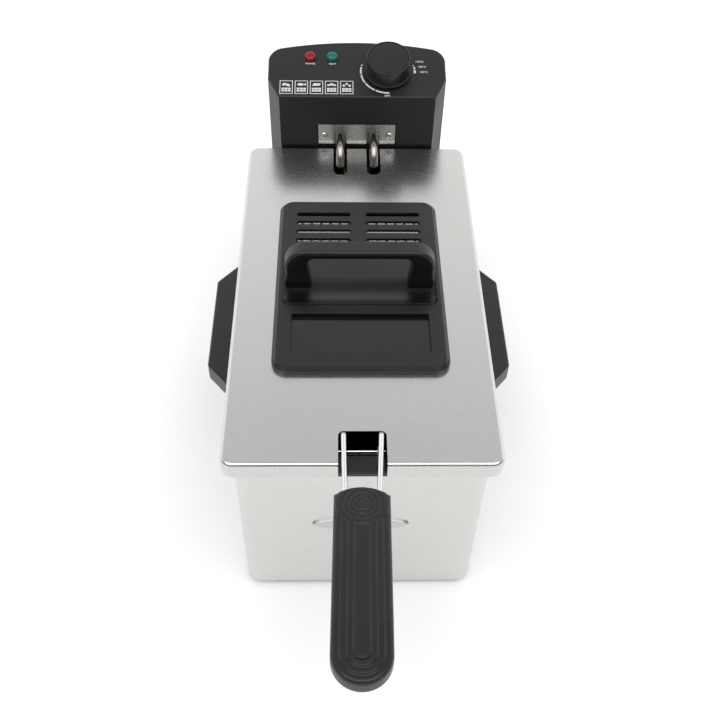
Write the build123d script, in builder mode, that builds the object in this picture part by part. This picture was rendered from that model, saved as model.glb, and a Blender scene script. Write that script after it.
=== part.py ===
"""Deep fryer: steel housing, lift-out oil pan, hang-on control unit with its heating element,
frying basket with a long handle, and a lid with a window, a filter and a lifting handle.

Millimetres. +X is right, +Y is to the rear, +Z is up. z = 0 is the table, and the origin is under
the middle of the whole fryer, basket handle included.
"""

import os
from math import cos, radians, sin, tan

from build123d import *

os.makedirs("parts", exist_ok=True)

# Lid, which sets the plan of everything else
LID_WIDTH, LID_LENGTH, LID_CORNER = 200.5, 361.0, 9.5
LID_FRONT = -131.0
LID_TOP = 185.0
LID_SKIRT, LID_EDGE = 14.4, 3.2
SHEET = 0.8
MID_Y = LID_FRONT + LID_LENGTH / 2
LID_UNDER = LID_TOP - SHEET
NOTCH_WIDTH, NOTCH_DEPTH, NOTCH_CORNER = 34.5, 29.6, 4.0
TUBE_SLOT_WIDTH, TUBE_SLOT_START = 12.5, LID_FRONT + 319.5

# Housing and its side handles
HOUSING_WIDTH, HOUSING_LENGTH, HOUSING_CORNER = 185.0, 347.0, 10.0
HOUSING_BOTTOM, HOUSING_TOP = 5.2, 168.0
HOUSING_FRONT = MID_Y - HOUSING_LENGTH / 2
HOUSING_REAR = MID_Y + HOUSING_LENGTH / 2
BOTTOM_LIP = 9.0
FOOT_X, FOOT_Y, FOOT_RADIUS, FOOT_HEIGHT = 70.0, 145.0, 9.0, HOUSING_BOTTOM + SHEET
SIDE_HANDLE_TOP, SIDE_HANDLE_HEIGHT, SIDE_HANDLE_REACH = 138.0, 16.5, 31.5
SIDE_HANDLE_ROOT, SIDE_HANDLE_TIP, SIDE_HANDLE_WALL = 86.0, 48.4, 5.0
BADGE_WIDTH, BADGE_HEIGHT, BADGE_Z = 74.0, 14.0, 97.0

# Oil pan
PAN_TOP, PAN_SHEET = 169.5, 1.2
FLANGE_WIDTH, FLANGE_LENGTH, FLANGE_CORNER, FLANGE_DROP = 192.0, 353.0, 13.0, 4.0
PAN_WIDTH, PAN_LENGTH, PAN_CORNER, PAN_BOTTOM = 160.0, 321.0, 24.0, 44.8

# Control unit, whose top panel slopes up to the rear from its fold
CONTROL_FRONT = LID_FRONT + 363.5
CONTROL_BOTTOM, FOLD_Z, PANEL_TILT, CONTROL_WALL = 84.0, 237.5, 16.0, 2.5
CONTROL_HALF_FRONT, CONTROL_HALF_WIDTH = 70.8, 81.4
COVER_SPLIT_Y, COVER_TOP = 262.0, 243.0
PANEL = Plane(
    origin=(0, CONTROL_FRONT, FOLD_Z),
    x_dir=(1, 0, 0),
    z_dir=(0, -sin(radians(PANEL_TILT)), cos(radians(PANEL_TILT))),
)
KNOB_X, KNOB_S, KNOB_RADIUS, KNOB_HEIGHT = 28.0, 30.0, 20.0, 18.0
SHAFT_RADIUS = 3.0
LAMPS = {"red": -43.1, "green": -22.9}
LAMP_S = 46.2

# Heating element: two legs come out of a plate, drop into the pan and lie above its floor
TUBE_RADIUS, TUBE_X, TUBE_OUT_Z = 4.05, 15.4, LID_TOP + 14.0
TUBE_LEG_Y, TUBE_BEND, ELEMENT_Z = LID_FRONT + 332.2, 19.0, 55.0
PLATE_WIDTH, PLATE_HEIGHT, PLATE_Z = 71.5, 21.5, LID_TOP + 12.0
PLATE_SCREW_X, PLATE_SCREW_Z = 30.6, LID_TOP + 10.9
BULB_RADIUS, BULB_Z, CAPILLARY_RADIUS = 3.0, 64.0, 1.2

# Basket and its handle
BASKET_WIDTH, BASKET_FRONT, BASKET_REAR, BASKET_CORNER = 132.0, LID_FRONT + 27.6, 182.0, 22.0
BASKET_BOTTOM, BASKET_TOP, BASKET_WALL = 76.0, 158.0, 1.2
WIRE_RADIUS, WIRE_X, WIRE_GRIP_X = 1.825, 13.4, 9.6
WIRE_Y, WIRE_BOTTOM = LID_FRONT + 25.5, 118.0
GRIP_TILT, GRIP_REAR, GRIP_LENGTH, GRIP_WIDTH = 4.0, LID_FRONT - 27.0, 136.0, 37.5
GRIP_X, GRIP_YAW = -1.2, 1.0  # the handle hooks in with some play and sits a little askew
GRIP_ABOVE, GRIP_BELOW = 8.0, 11.0
GRIP = Plane(
    origin=(GRIP_X, GRIP_REAR, LID_TOP + 7.7),
    x_dir=(cos(radians(GRIP_YAW)), -sin(radians(GRIP_YAW)), 0),
    z_dir=(0, sin(radians(GRIP_TILT)), cos(radians(GRIP_TILT))),
)

# Filter cover on the lid
COVER_WIDTH, COVER_FRONT, COVER_REAR = 135.0, LID_FRONT + 81.6, LID_FRONT + 276.0
COVER_HEIGHT, COVER_CORNER, COVER_BEVEL = 6.7, 12.0, 3.0
WINDOW_WIDTH, WINDOW_FRONT, WINDOW_REAR = 107.2, LID_FRONT + 98.2, LID_FRONT + 138.2
VENT_ROWS = [LID_FRONT + u for u in (223.5, 234.5, 245.5, 256.5)]
VENT_X, VENT_LENGTH, VENT_WIDTH = 29.5, 47.0, 4.8
SEAT_WIDTH, SEAT_FRONT, SEAT_REAR = 122.4, LID_FRONT + 148.7, LID_FRONT + 206.0
ARCH_FRONT, ARCH_REAR, ARCH_TOP = LID_FRONT + 170.0, LID_FRONT + 184.5, LID_TOP + 41.5


def across(y):
    """Plane at y seen from the front: its x is X, its y is Z, and it extrudes forwards."""
    return Plane.XZ.offset(-y)


def save(piece, name):
    """Label a finished sub-part and write it as its own STEP file."""
    piece.part.label = name
    export_step(piece.part, f"parts/{name}.step")


def plate(width, length, corner, low, high, mid_y=MID_Y, mode=Mode.ADD):
    """Rounded rectangular slab between two heights, added to the part being built."""
    with BuildSketch(Plane.XY.offset(low)) as outline:
        with Locations((0, mid_y)):
            RectangleRounded(width, length, corner)
    return extrude(outline.sketch, amount=high - low, mode=mode)


def plate_cut(width, length, corner, low, high, mid_y=MID_Y):
    """The same slab, taken away from the part being built."""
    return plate(width, length, corner, low, high, mid_y, mode=Mode.SUBTRACT)


def rods(plane, places, radius, depth, mode=Mode.ADD):
    """Round bars of one radius that start on a plane and run along its normal."""
    with BuildSketch(plane) as circles:
        with Locations(*places):
            Circle(radius)
    return extrude(circles.sketch, amount=depth, mode=mode)


# Housing ------------------------------------------------------------------------------------

# Folded steel housing with an inward rim at the top and a lip at the bottom.
with BuildPart() as outer_housing:
    plate(HOUSING_WIDTH, HOUSING_LENGTH, HOUSING_CORNER, HOUSING_BOTTOM, HOUSING_TOP)
    plate_cut(
        HOUSING_WIDTH - 2 * SHEET,
        HOUSING_LENGTH - 2 * SHEET,
        HOUSING_CORNER - SHEET,
        HOUSING_BOTTOM + SHEET,
        HOUSING_TOP - SHEET,
    )
    plate_cut(
        HOUSING_WIDTH - 2 * BOTTOM_LIP,
        HOUSING_LENGTH - 2 * BOTTOM_LIP,
        HOUSING_CORNER - SHEET,
        HOUSING_BOTTOM - 1,
        HOUSING_BOTTOM + SHEET,
    )
    plate_cut(
        PAN_WIDTH + 5, PAN_LENGTH + 5, PAN_CORNER, HOUSING_TOP - SHEET, HOUSING_TOP + 1
    )
    # screw holes: side handles, rear guide and base plate
    for side in (-1, 1):
        with BuildSketch(Plane.YZ.offset(side * HOUSING_WIDTH / 2 - 2)):
            with Locations((MID_Y - 60, SIDE_HANDLE_TOP - 8), (MID_Y + 60, SIDE_HANDLE_TOP - 8)):
                Circle(2.0)
        extrude(amount=4, mode=Mode.SUBTRACT)
    rods(across(HOUSING_REAR + 1), [(-25, 150), (25, 150), (-25, 108), (25, 108)], 2.0, 3, Mode.SUBTRACT)
    BASE_SCREWS = [(x, MID_Y + y) for x in (-88, 88) for y in (-110, 0, 110)]
    rods(Plane.XY.offset(HOUSING_BOTTOM - 1), BASE_SCREWS, 1.5, 3, Mode.SUBTRACT)
save(outer_housing, "outer_housing")

# Flat base plate that closes the housing from inside, with cooling slots and foot holes.
FOOT_PLACES = [(x, MID_Y + y) for x in (-FOOT_X, FOOT_X) for y in (-FOOT_Y, FOOT_Y)]
BASE_LOW, BASE_SHEET = HOUSING_BOTTOM + SHEET, 1.2
with BuildPart() as base_plate:
    plate(HOUSING_WIDTH - 3, HOUSING_LENGTH - 3, HOUSING_CORNER - 2, BASE_LOW, BASE_LOW + BASE_SHEET)
    rods(Plane.XY.offset(BASE_LOW), FOOT_PLACES, 2.0, BASE_SHEET, Mode.SUBTRACT)
    rods(Plane.XY.offset(BASE_LOW), BASE_SCREWS, 1.5, BASE_SHEET, Mode.SUBTRACT)
    with BuildSketch(Plane.XY.offset(BASE_LOW)):
        with Locations((0, MID_Y)):
            with GridLocations(60, 22, 2, 9):
                SlotOverall(44, 5)
    extrude(amount=BASE_SHEET, mode=Mode.SUBTRACT)
save(base_plate, "base_plate")

# Screws that hold the base plate to the lip.
with BuildPart() as base_screws:
    rods(Plane.XY.offset(HOUSING_BOTTOM - 1.3), BASE_SCREWS, 2.8, 1.3)
    rods(Plane.XY.offset(HOUSING_BOTTOM), BASE_SCREWS, 1.5, 5)
save(base_screws, "base_screws")

# Rubber feet, recessed underneath for their screws.
for number, place in enumerate(FOOT_PLACES, start=1):
    with BuildPart() as foot:
        rods(Plane.XY, [place], FOOT_RADIUS, FOOT_HEIGHT)
        chamfer(foot.faces().sort_by(Axis.Z)[0].edges(), length=0.8)
        rods(Plane.XY, [place], 4.6, 2.6, Mode.SUBTRACT)
        rods(Plane.XY, [place], 2.0, FOOT_HEIGHT, Mode.SUBTRACT)
    save(foot, f"foot_{number}")

with BuildPart() as foot_screws:
    rods(Plane.XY.offset(1.0), FOOT_PLACES, 4.0, 1.6)
    rods(Plane.XY.offset(2.6), FOOT_PLACES, 2.0, 8.0)
save(foot_screws, "foot_screws")

# Side handles: chamfered in plan, hollow underneath for the fingers.
for side, name in ((-1, "left"), (1, "right")):
    root, tip, wall = SIDE_HANDLE_ROOT, SIDE_HANDLE_TIP, SIDE_HANDLE_WALL
    inner, outer = side * HOUSING_WIDTH / 2, side * (HOUSING_WIDTH / 2 + SIDE_HANDLE_REACH)
    low = SIDE_HANDLE_TOP - SIDE_HANDLE_HEIGHT
    with BuildPart() as side_handle:
        with BuildSketch(Plane.XY.offset(low)):
            with BuildLine():
                Polyline(
                    (inner, MID_Y - root),
                    (outer, MID_Y - tip),
                    (outer, MID_Y + tip),
                    (inner, MID_Y + root),
                    close=True,
                )
            make_face()
        extrude(amount=SIDE_HANDLE_HEIGHT)
        fillet(side_handle.edges().filter_by(Axis.Z).group_by(Axis.X)[0 if side < 0 else -1], 4)
        top = side_handle.faces().sort_by(Axis.Z)[-1]
        fillet([e for e in top.edges() if abs(e.center().X - inner) > 1], 2)
        with BuildSketch(Plane.XY.offset(low)):
            with BuildLine():
                Polyline(
                    (inner + side * (wall + 0.5), MID_Y - root + 2.6 * wall),
                    (outer - side * wall, MID_Y - tip + wall / 2),
                    (outer - side * wall, MID_Y + tip - wall / 2),
                    (inner + side * (wall + 0.5), MID_Y + root - 2.6 * wall),
                    close=True,
                )
            make_face()
        extrude(amount=SIDE_HANDLE_HEIGHT - wall, mode=Mode.SUBTRACT)
        with BuildSketch(Plane.YZ.offset(inner - 1 if side > 0 else inner - 4.5)):
            with Locations((MID_Y - 60, SIDE_HANDLE_TOP - 8), (MID_Y + 60, SIDE_HANDLE_TOP - 8)):
                Circle(2.0)
        extrude(amount=5.5, mode=Mode.SUBTRACT)
    save(side_handle, f"side_handle_{name}")

# Screws of the side handles, with their heads inside the housing.
with BuildPart() as side_handle_screws:
    for side in (-1, 1):
        inside = side * (HOUSING_WIDTH / 2 - SHEET)
        for y in (MID_Y - 60, MID_Y + 60):
            with BuildSketch(Plane.YZ.offset(min(inside, inside - side * 2))):
                with Locations((y, SIDE_HANDLE_TOP - 8)):
                    Circle(4.0)
            extrude(amount=2)
            with BuildSketch(Plane.YZ.offset(min(inside, inside + side * 5))):
                with Locations((y, SIDE_HANDLE_TOP - 8)):
                    Circle(2.0)
            extrude(amount=5)
save(side_handle_screws, "side_handle_screws")

# Blank oval badge on the front.
with BuildPart() as front_badge:
    with BuildSketch(across(HOUSING_FRONT)):
        with Locations((0, BADGE_Z)):
            Ellipse(BADGE_WIDTH / 2, BADGE_HEIGHT / 2)
    extrude(amount=1.6)
    fillet(front_badge.faces().sort_by(Axis.Y)[0].edges(), 0.8)
save(front_badge, "front_badge")

# Rear guide: a back plate with two lipped rails that take the control unit's hooks,
# a ledge under each rail and the peg that presses the interlock plunger.
GUIDE_LOW, GUIDE_HIGH, GUIDE_SHEET = 96.0, 164.0, 1.2
RAIL_X, RAIL_LIP, RAIL_DEPTH = 46.0, 40.0, 6.5
PLUNGER_Z = 122.0
with BuildPart() as rear_guide:
    with BuildSketch(Plane.XY.offset(GUIDE_LOW)):
        with Locations((0, HOUSING_REAR)):
            Rectangle(2 * RAIL_X, GUIDE_SHEET, align=(Align.CENTER, Align.MIN))
        for side in (-1, 1):
            with Locations((side * (RAIL_X - 0.6), HOUSING_REAR)):
                Rectangle(1.2, RAIL_DEPTH, align=(Align.CENTER, Align.MIN))
            with Locations((side * (RAIL_X + RAIL_LIP) / 2, HOUSING_REAR + RAIL_DEPTH)):
                Rectangle(RAIL_X - RAIL_LIP, GUIDE_SHEET, align=(Align.CENTER, Align.MAX))
    extrude(amount=GUIDE_HIGH - GUIDE_LOW)
    with BuildSketch(Plane.XY.offset(GUIDE_LOW)):
        for side in (-1, 1):
            with Locations((side * (RAIL_X + RAIL_LIP) / 2, HOUSING_REAR)):
                Rectangle(RAIL_X - RAIL_LIP, RAIL_DEPTH, align=(Align.CENTER, Align.MIN))
    extrude(amount=1.5)
    rods(across(CONTROL_FRONT - 3.0), [(0, PLUNGER_Z)], 4.0, CONTROL_FRONT - 3.0 - HOUSING_REAR)
    rods(across(HOUSING_REAR + 2), [(-25, 150), (25, 150), (-25, 108), (25, 108)], 2.0, 2, Mode.SUBTRACT)
save(rear_guide, "rear_guide")

with BuildPart() as guide_rivets:
    places = [(-25, 150), (25, 150), (-25, 108), (25, 108)]
    rods(across(HOUSING_REAR + GUIDE_SHEET + 1.2), places, 3.4, 1.2)
    rods(across(HOUSING_REAR + GUIDE_SHEET), places, 2.0, GUIDE_SHEET + SHEET + 1.5)
save(guide_rivets, "guide_rivets")

# Oil pan --------------------------------------------------------------------------------------

# Deep-drawn enamelled pan with a broad flange that hangs on the housing's rim.
with BuildPart() as pan_cavity:
    plate(
        PAN_WIDTH - 2 * PAN_SHEET,
        PAN_LENGTH - 2 * PAN_SHEET,
        PAN_CORNER - PAN_SHEET,
        PAN_BOTTOM + PAN_SHEET,
        PAN_TOP + 1,
    )
    fillet(pan_cavity.faces().sort_by(Axis.Z)[0].edges(), 12.8)
with BuildPart() as oil_pan:
    plate(PAN_WIDTH, PAN_LENGTH, PAN_CORNER, PAN_BOTTOM, PAN_TOP)
    fillet(oil_pan.faces().sort_by(Axis.Z)[0].edges(), 14)
    plate(FLANGE_WIDTH, FLANGE_LENGTH, FLANGE_CORNER, HOUSING_TOP, PAN_TOP)
    with BuildSketch(Plane.XY.offset(PAN_TOP - FLANGE_DROP)):
        with Locations((0, MID_Y)):
            RectangleRounded(FLANGE_WIDTH, FLANGE_LENGTH, FLANGE_CORNER)
            RectangleRounded(
                FLANGE_WIDTH - 2 * PAN_SHEET,
                FLANGE_LENGTH - 2 * PAN_SHEET,
                FLANGE_CORNER - PAN_SHEET,
                mode=Mode.SUBTRACT,
            )
    extrude(amount=FLANGE_DROP)
    fillet(oil_pan.faces().sort_by(Axis.Z)[-1].edges(), 1.0)
    add(pan_cavity.part, mode=Mode.SUBTRACT)
    rim_edges = oil_pan.edges().group_by(Axis.Z)[-1]
    fillet([e for e in rim_edges if abs(e.center().X) < 85 and abs(e.center().Y - MID_Y) < 165], 2.2)
save(oil_pan, "oil_pan")

# Control unit ---------------------------------------------------------------------------------

PEAK_Y = CONTROL_FRONT + 63.3


def control_block(inset, low, drop):
    """Solid of the control unit's plan, cut off parallel to its sloping panel."""
    with BuildPart() as block:
        with BuildSketch(Plane.XY.offset(low)) as plan:
            with BuildLine():
                Polyline(
                    (-CONTROL_HALF_WIDTH, CONTROL_FRONT + 39.5),
                    (-CONTROL_HALF_WIDTH, CONTROL_FRONT + 21.5),
                    (-CONTROL_HALF_FRONT, CONTROL_FRONT),
                    (CONTROL_HALF_FRONT, CONTROL_FRONT),
                    (CONTROL_HALF_WIDTH, CONTROL_FRONT + 21.5),
                    (CONTROL_HALF_WIDTH, CONTROL_FRONT + 39.5),
                )
                ThreePointArc(
                    (CONTROL_HALF_WIDTH, CONTROL_FRONT + 39.5),
                    (79.0, CONTROL_FRONT + 49.8),
                    (70.5, CONTROL_FRONT + 56.2),
                )
                ThreePointArc(
                    (70.5, CONTROL_FRONT + 56.2), (0, PEAK_Y), (-70.5, CONTROL_FRONT + 56.2)
                )
                ThreePointArc(
                    (-70.5, CONTROL_FRONT + 56.2),
                    (-79.0, CONTROL_FRONT + 49.8),
                    (-CONTROL_HALF_WIDTH, CONTROL_FRONT + 39.5),
                )
            make_face()
            if inset:
                offset(amount=-inset, mode=Mode.REPLACE)
        extrude(amount=200)
        split(bisect_by=PANEL.offset(-drop), keep=Keep.BOTTOM)
    return block


control_outer = control_block(0, CONTROL_BOTTOM, 0)
control_inner = control_block(CONTROL_WALL, CONTROL_BOTTOM + CONTROL_WALL, CONTROL_WALL)
POSTS = [(x, z) for x in (-60, 60) for z in (102, 222)]
POST_END = 278.0
HOOK_SCREWS = [(x, z) for x in (-28, 28) for z in (108, 150)]
PLATE_SCREWS = [(x, PLATE_SCREW_Z) for x in (-PLATE_SCREW_X, PLATE_SCREW_X)]
TUBES = [(-TUBE_X, TUBE_OUT_Z), (TUBE_X, TUBE_OUT_Z)]
CAPILLARY_DROP = TUBE_RADIUS + CAPILLARY_RADIUS + 0.15
CAPILLARY_OUT = [(TUBE_X, TUBE_OUT_Z - CAPILLARY_DROP)]
RECESS_Y = CONTROL_FRONT + 2.5

# Front shell: front face, sloping panel and sides in one moulding, with posts for the cover.
with BuildPart() as control_shell:
    add(control_outer.part)
    top = control_shell.faces().sort_by(Axis.Z)[-1]
    fillet(top.edges(), 2.0)
    add(control_inner.part, mode=Mode.SUBTRACT)
    with BuildSketch(Plane.XY.offset(CONTROL_BOTTOM - 1)):
        with Locations((0, COVER_SPLIT_Y)):
            Rectangle(200, 60, align=(Align.CENTER, Align.MIN))
    extrude(amount=COVER_TOP - CONTROL_BOTTOM + 1, mode=Mode.SUBTRACT)
    # thicker wall behind the element plate, and the plate's recess
    with BuildSketch(across(CONTROL_FRONT + 6)):
        with Locations((0, PLATE_Z)):
            Rectangle(PLATE_WIDTH + 8, PLATE_HEIGHT + 8)
    extrude(amount=4)
    with BuildSketch(across(RECESS_Y)):
        with Locations((0, PLATE_Z)):
            RectangleRounded(PLATE_WIDTH + 1.6, PLATE_HEIGHT + 1.6, 1.2)
    extrude(amount=4, mode=Mode.SUBTRACT)
    rods(across(POST_END), POSTS, 5.0, POST_END - CONTROL_FRONT - 1)
    rods(across(POST_END), POSTS, 1.6, 16, Mode.SUBTRACT)
    rods(across(CONTROL_FRONT + 10), TUBES, TUBE_RADIUS + 0.4, 12, Mode.SUBTRACT)
    rods(across(CONTROL_FRONT + 10), CAPILLARY_OUT, CAPILLARY_RADIUS + 0.4, 12, Mode.SUBTRACT)
    rods(across(CONTROL_FRONT + 10), PLATE_SCREWS, 1.6, 12, Mode.SUBTRACT)
    rods(across(CONTROL_FRONT + 10), HOOK_SCREWS, 1.6, 12, Mode.SUBTRACT)
    rods(across(CONTROL_FRONT + 10), [(0, PLUNGER_Z)], 2.5, 12, Mode.SUBTRACT)
    rods(PANEL.offset(-10), [(KNOB_X, KNOB_S)], 4.5, 12, Mode.SUBTRACT)
    rods(PANEL.offset(-10), [(x, LAMP_S) for x in LAMPS.values()], 4.2, 12, Mode.SUBTRACT)
save(control_shell, "control_shell")

# Rear cover with vent slots, screw wells, and holes for the reset button and the cord gland.
RESET_X, RESET_Z, RESET_RADIUS = 45.0, 128.0, 3.5
GLAND_X, GLAND_Z, GLAND_RADIUS = -38.0, 110.0, 8.0
with BuildPart() as control_cover:
    with BuildSketch(Plane.XY.offset(CONTROL_BOTTOM)):
        with Locations((0, COVER_SPLIT_Y)):
            Rectangle(200, 60, align=(Align.CENTER, Align.MIN))
    extrude(amount=COVER_TOP - CONTROL_BOTTOM)
    add(control_outer.part, mode=Mode.INTERSECT)
    add(control_inner.part, mode=Mode.SUBTRACT)
    rods(across(PEAK_Y - 5), POSTS, 6.0, PEAK_Y - 5 - POST_END)
    rods(across(PEAK_Y + 1), POSTS, 3.6, PEAK_Y + 1 - POST_END - 5, Mode.SUBTRACT)
    rods(across(PEAK_Y), POSTS, 1.6, PEAK_Y - POST_END + 5, Mode.SUBTRACT)
    rods(across(PEAK_Y + 1), [(RESET_X, RESET_Z)], RESET_RADIUS + 0.5, 10, Mode.SUBTRACT)
    rods(across(PEAK_Y + 1), [(GLAND_X, GLAND_Z)], GLAND_RADIUS, 10, Mode.SUBTRACT)
    with BuildSketch(across(PEAK_Y + 1)):
        with Locations((0, 200)):
            with GridLocations(8, 0, 9, 1):
                SlotOverall(30, 3, rotation=90)
    extrude(amount=10, mode=Mode.SUBTRACT)
save(control_cover, "control_cover")

with BuildPart() as cover_screws:
    rods(across(POST_END + 7), POSTS, 3.2, 2)
    rods(across(POST_END + 5), POSTS, 1.6, 18)
save(cover_screws, "cover_screws")

# Steel plate that carries the element legs, and its two screws.
PLATE_BACK = RECESS_Y - 0.6
with BuildPart() as element_plate:
    with BuildSketch(across(PLATE_BACK)):
        with Locations((0, PLATE_Z)):
            RectangleRounded(PLATE_WIDTH, PLATE_HEIGHT, 0.8)
    extrude(amount=1.2)
    rods(across(PLATE_BACK), TUBES, TUBE_RADIUS, 2, Mode.SUBTRACT)
    rods(across(PLATE_BACK), CAPILLARY_OUT, CAPILLARY_RADIUS, 2, Mode.SUBTRACT)
    rods(across(PLATE_BACK), PLATE_SCREWS, 1.6, 2, Mode.SUBTRACT)
save(element_plate, "element_plate")

with BuildPart() as plate_screws:
    rods(across(PLATE_BACK - 1.2), PLATE_SCREWS, 3.4, 1.9)
    fillet(plate_screws.edges().group_by(Axis.Y)[0], 0.9)
    rods(across(CONTROL_FRONT + 8), PLATE_SCREWS, 1.6, CONTROL_FRONT + 8 - PLATE_BACK + 1.2)
save(plate_screws, "plate_screws")

# Heating element: one tube down from the plate, round a long loop over the pan's floor and back.
LOOP_FRONT, LOOP_INNER_FRONT, LOOP_REAR, LOOP_PITCH = -104.0, -82.0, 168.0, 28.0
mid_x, far_x = TUBE_X + LOOP_PITCH, TUBE_X + 2 * LOOP_PITCH
with BuildPart() as heating_element:
    with BuildLine() as route:
        leg = []
        for side in (1, -1):
            leg.append(
                [
                    (side * TUBE_X, CONTROL_FRONT + 18, TUBE_OUT_Z),
                    (side * TUBE_X, TUBE_LEG_Y, TUBE_OUT_Z),
                    (side * TUBE_X, TUBE_LEG_Y, ELEMENT_Z),
                    (side * TUBE_X, LOOP_INNER_FRONT, ELEMENT_Z),
                    (side * mid_x, LOOP_INNER_FRONT, ELEMENT_Z),
                    (side * mid_x, LOOP_REAR, ELEMENT_Z),
                    (side * far_x, LOOP_REAR, ELEMENT_Z),
                    (side * far_x, LOOP_FRONT, ELEMENT_Z),
                ]
            )
        turn = LOOP_PITCH / 2 - 0.01
        bends = [TUBE_BEND, 16, turn, turn, turn, turn, 14, 14, turn, turn, turn, turn, 16, TUBE_BEND]
        FilletPolyline(*leg[0], *reversed(leg[1]), radius=bends)
    with BuildSketch(Plane(origin=route.line @ 0, z_dir=route.line % 0)):
        Circle(TUBE_RADIUS)
    sweep(path=route.line)
save(heating_element, "heating_element")

# Insulated ends of the tube with their terminal pins, inside the control unit.
with BuildPart() as element_terminals:
    rods(across(CONTROL_FRONT + 24), TUBES, 3.6, 6)
    rods(across(CONTROL_FRONT + 34), TUBES, 1.5, 10)
save(element_terminals, "element_terminals")

# Clips that tie the runs of the element together, stand on the pan's floor and carry the bulb.
CLIP_WIDTH, CLIP_LENGTH, CLIP_LOW, CLIP_FOOT = 148.0, 8.0, ELEMENT_Z - 4.2, 46.4
CLIP_RUNS = [(s * x, ELEMENT_Z) for s in (-1, 1) for x in (TUBE_X, mid_x, far_x)]
with BuildPart() as element_clips:
    for clip_y in (-60.0, 145.0):
        with BuildSketch(across(clip_y)):
            with Locations((0, CLIP_LOW)):
                Rectangle(CLIP_WIDTH, 6.5, align=(Align.CENTER, Align.MIN))
            with Locations((-29, CLIP_FOOT), (29, CLIP_FOOT)):
                Rectangle(10, 6, align=(Align.CENTER, Align.MIN))
            with Locations((0, ELEMENT_Z)):
                Rectangle(12, 12.5, align=(Align.CENTER, Align.MIN))
            with Locations(*CLIP_RUNS):
                Circle(TUBE_RADIUS, mode=Mode.SUBTRACT)
            with Locations((0, BULB_Z)):
                Circle(BULB_RADIUS, mode=Mode.SUBTRACT)
        extrude(amount=CLIP_LENGTH)
save(element_clips, "element_clips")

# Thermostat bulb over the middle of the element, and the capillary that follows the right leg.
BULB_FRONT, BULB_REAR = 40.0, 150.0
with BuildPart() as thermostat_bulb:
    rods(across(BULB_REAR), [(0, BULB_Z)], BULB_RADIUS, BULB_REAR - BULB_FRONT)
save(thermostat_bulb, "thermostat_bulb")

with BuildPart() as capillary:
    behind_leg = TUBE_LEG_Y + CAPILLARY_DROP
    with BuildLine() as route:
        FilletPolyline(
            (TUBE_X, CONTROL_FRONT + 12, TUBE_OUT_Z - CAPILLARY_DROP),
            (TUBE_X, behind_leg, TUBE_OUT_Z - CAPILLARY_DROP),
            (TUBE_X, behind_leg, 100),
            (0, behind_leg, 84),
            (0, behind_leg, BULB_Z),
            (0, BULB_REAR, BULB_Z),
            radius=[TUBE_BEND - CAPILLARY_DROP, 8, 8, 8],
        )
    with BuildSketch(Plane(origin=route.line @ 0, z_dir=route.line % 0)):
        Circle(CAPILLARY_RADIUS)
    sweep(path=route.line)
save(capillary, "capillary")

# Thermostat under the panel.
with BuildPart() as thermostat_body:
    with BuildSketch(PANEL.offset(-28)):
        with Locations((KNOB_X, KNOB_S)):
            RectangleRounded(38, 30, 4)
    extrude(amount=28 - CONTROL_WALL)
    rods(PANEL.offset(-20), [(KNOB_X, KNOB_S)], SHAFT_RADIUS + 0.05, 20, Mode.SUBTRACT)
save(thermostat_body, "thermostat_body")

# Indicator lamps: a domed lens on the panel, and its holder underneath.
for colour, lamp_x in LAMPS.items():
    with BuildPart() as lamp_lens:
        rods(PANEL, [(lamp_x, LAMP_S)], 5.3, 3.6)
        fillet(lamp_lens.faces().sort_by(Axis.Z)[-1].edges(), 3.0)
        rods(PANEL.offset(-6), [(lamp_x, LAMP_S)], 4.2, 6)
    save(lamp_lens, f"lamp_lens_{colour}")
with BuildPart() as lamp_holders:
    lamp_places = [(x, LAMP_S) for x in LAMPS.values()]
    rods(PANEL.offset(-17), lamp_places, 5.5, 17 - CONTROL_WALL)
    rods(PANEL.offset(-6), lamp_places, 4.2, 6, Mode.SUBTRACT)
save(lamp_holders, "lamp_holders")

# Hooks that hang the control unit in the rear guide, one on each side, and their screws.
TONGUE_X, TONGUE_WEB, TONGUE_Y = 43.2, 36.0, HOUSING_REAR + 3.7
HOOK_LENGTH = 60.0
with BuildPart() as hooks:
    with BuildSketch(Plane.XY.offset(GUIDE_LOW + 1.8)):
        for side in (-1, 1):
            with Locations((side * (TONGUE_X + TONGUE_WEB - SHEET) / 2, TONGUE_Y)):
                Rectangle(TONGUE_X - TONGUE_WEB + SHEET, 1.2, align=(Align.CENTER, Align.MIN))
            with Locations((side * (TONGUE_WEB - 0.6), TONGUE_Y)):
                Rectangle(1.2, CONTROL_FRONT - TONGUE_Y, align=(Align.CENTER, Align.MIN))
            with Locations((side * (TONGUE_WEB + 22) / 2, CONTROL_FRONT)):
                Rectangle(TONGUE_WEB - 22, 1.2, align=(Align.CENTER, Align.MAX))
    extrude(amount=HOOK_LENGTH)
    rods(across(CONTROL_FRONT), HOOK_SCREWS, 1.6, 3, Mode.SUBTRACT)
save(hooks, "hooks")

with BuildPart() as hook_screws:
    rods(across(CONTROL_FRONT - 1.2), HOOK_SCREWS, 3.0, 1.2)
    rods(across(CONTROL_FRONT + 8), HOOK_SCREWS, 1.6, 9.2)
save(hook_screws, "hook_screws")

# Interlock switch behind the front face, with the plunger that the guide's peg holds in.
PLUNGER_RADIUS = 2.0
with BuildPart() as interlock_switch:
    with BuildSketch(across(CONTROL_FRONT + 18)):
        with Locations((0, PLUNGER_Z)):
            Rectangle(20, 12)
    extrude(amount=18 - CONTROL_WALL)
    rods(across(CONTROL_FRONT + 9.5), [(0, PLUNGER_Z)], PLUNGER_RADIUS + 0.05, 9.5, Mode.SUBTRACT)
save(interlock_switch, "interlock_switch")

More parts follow.
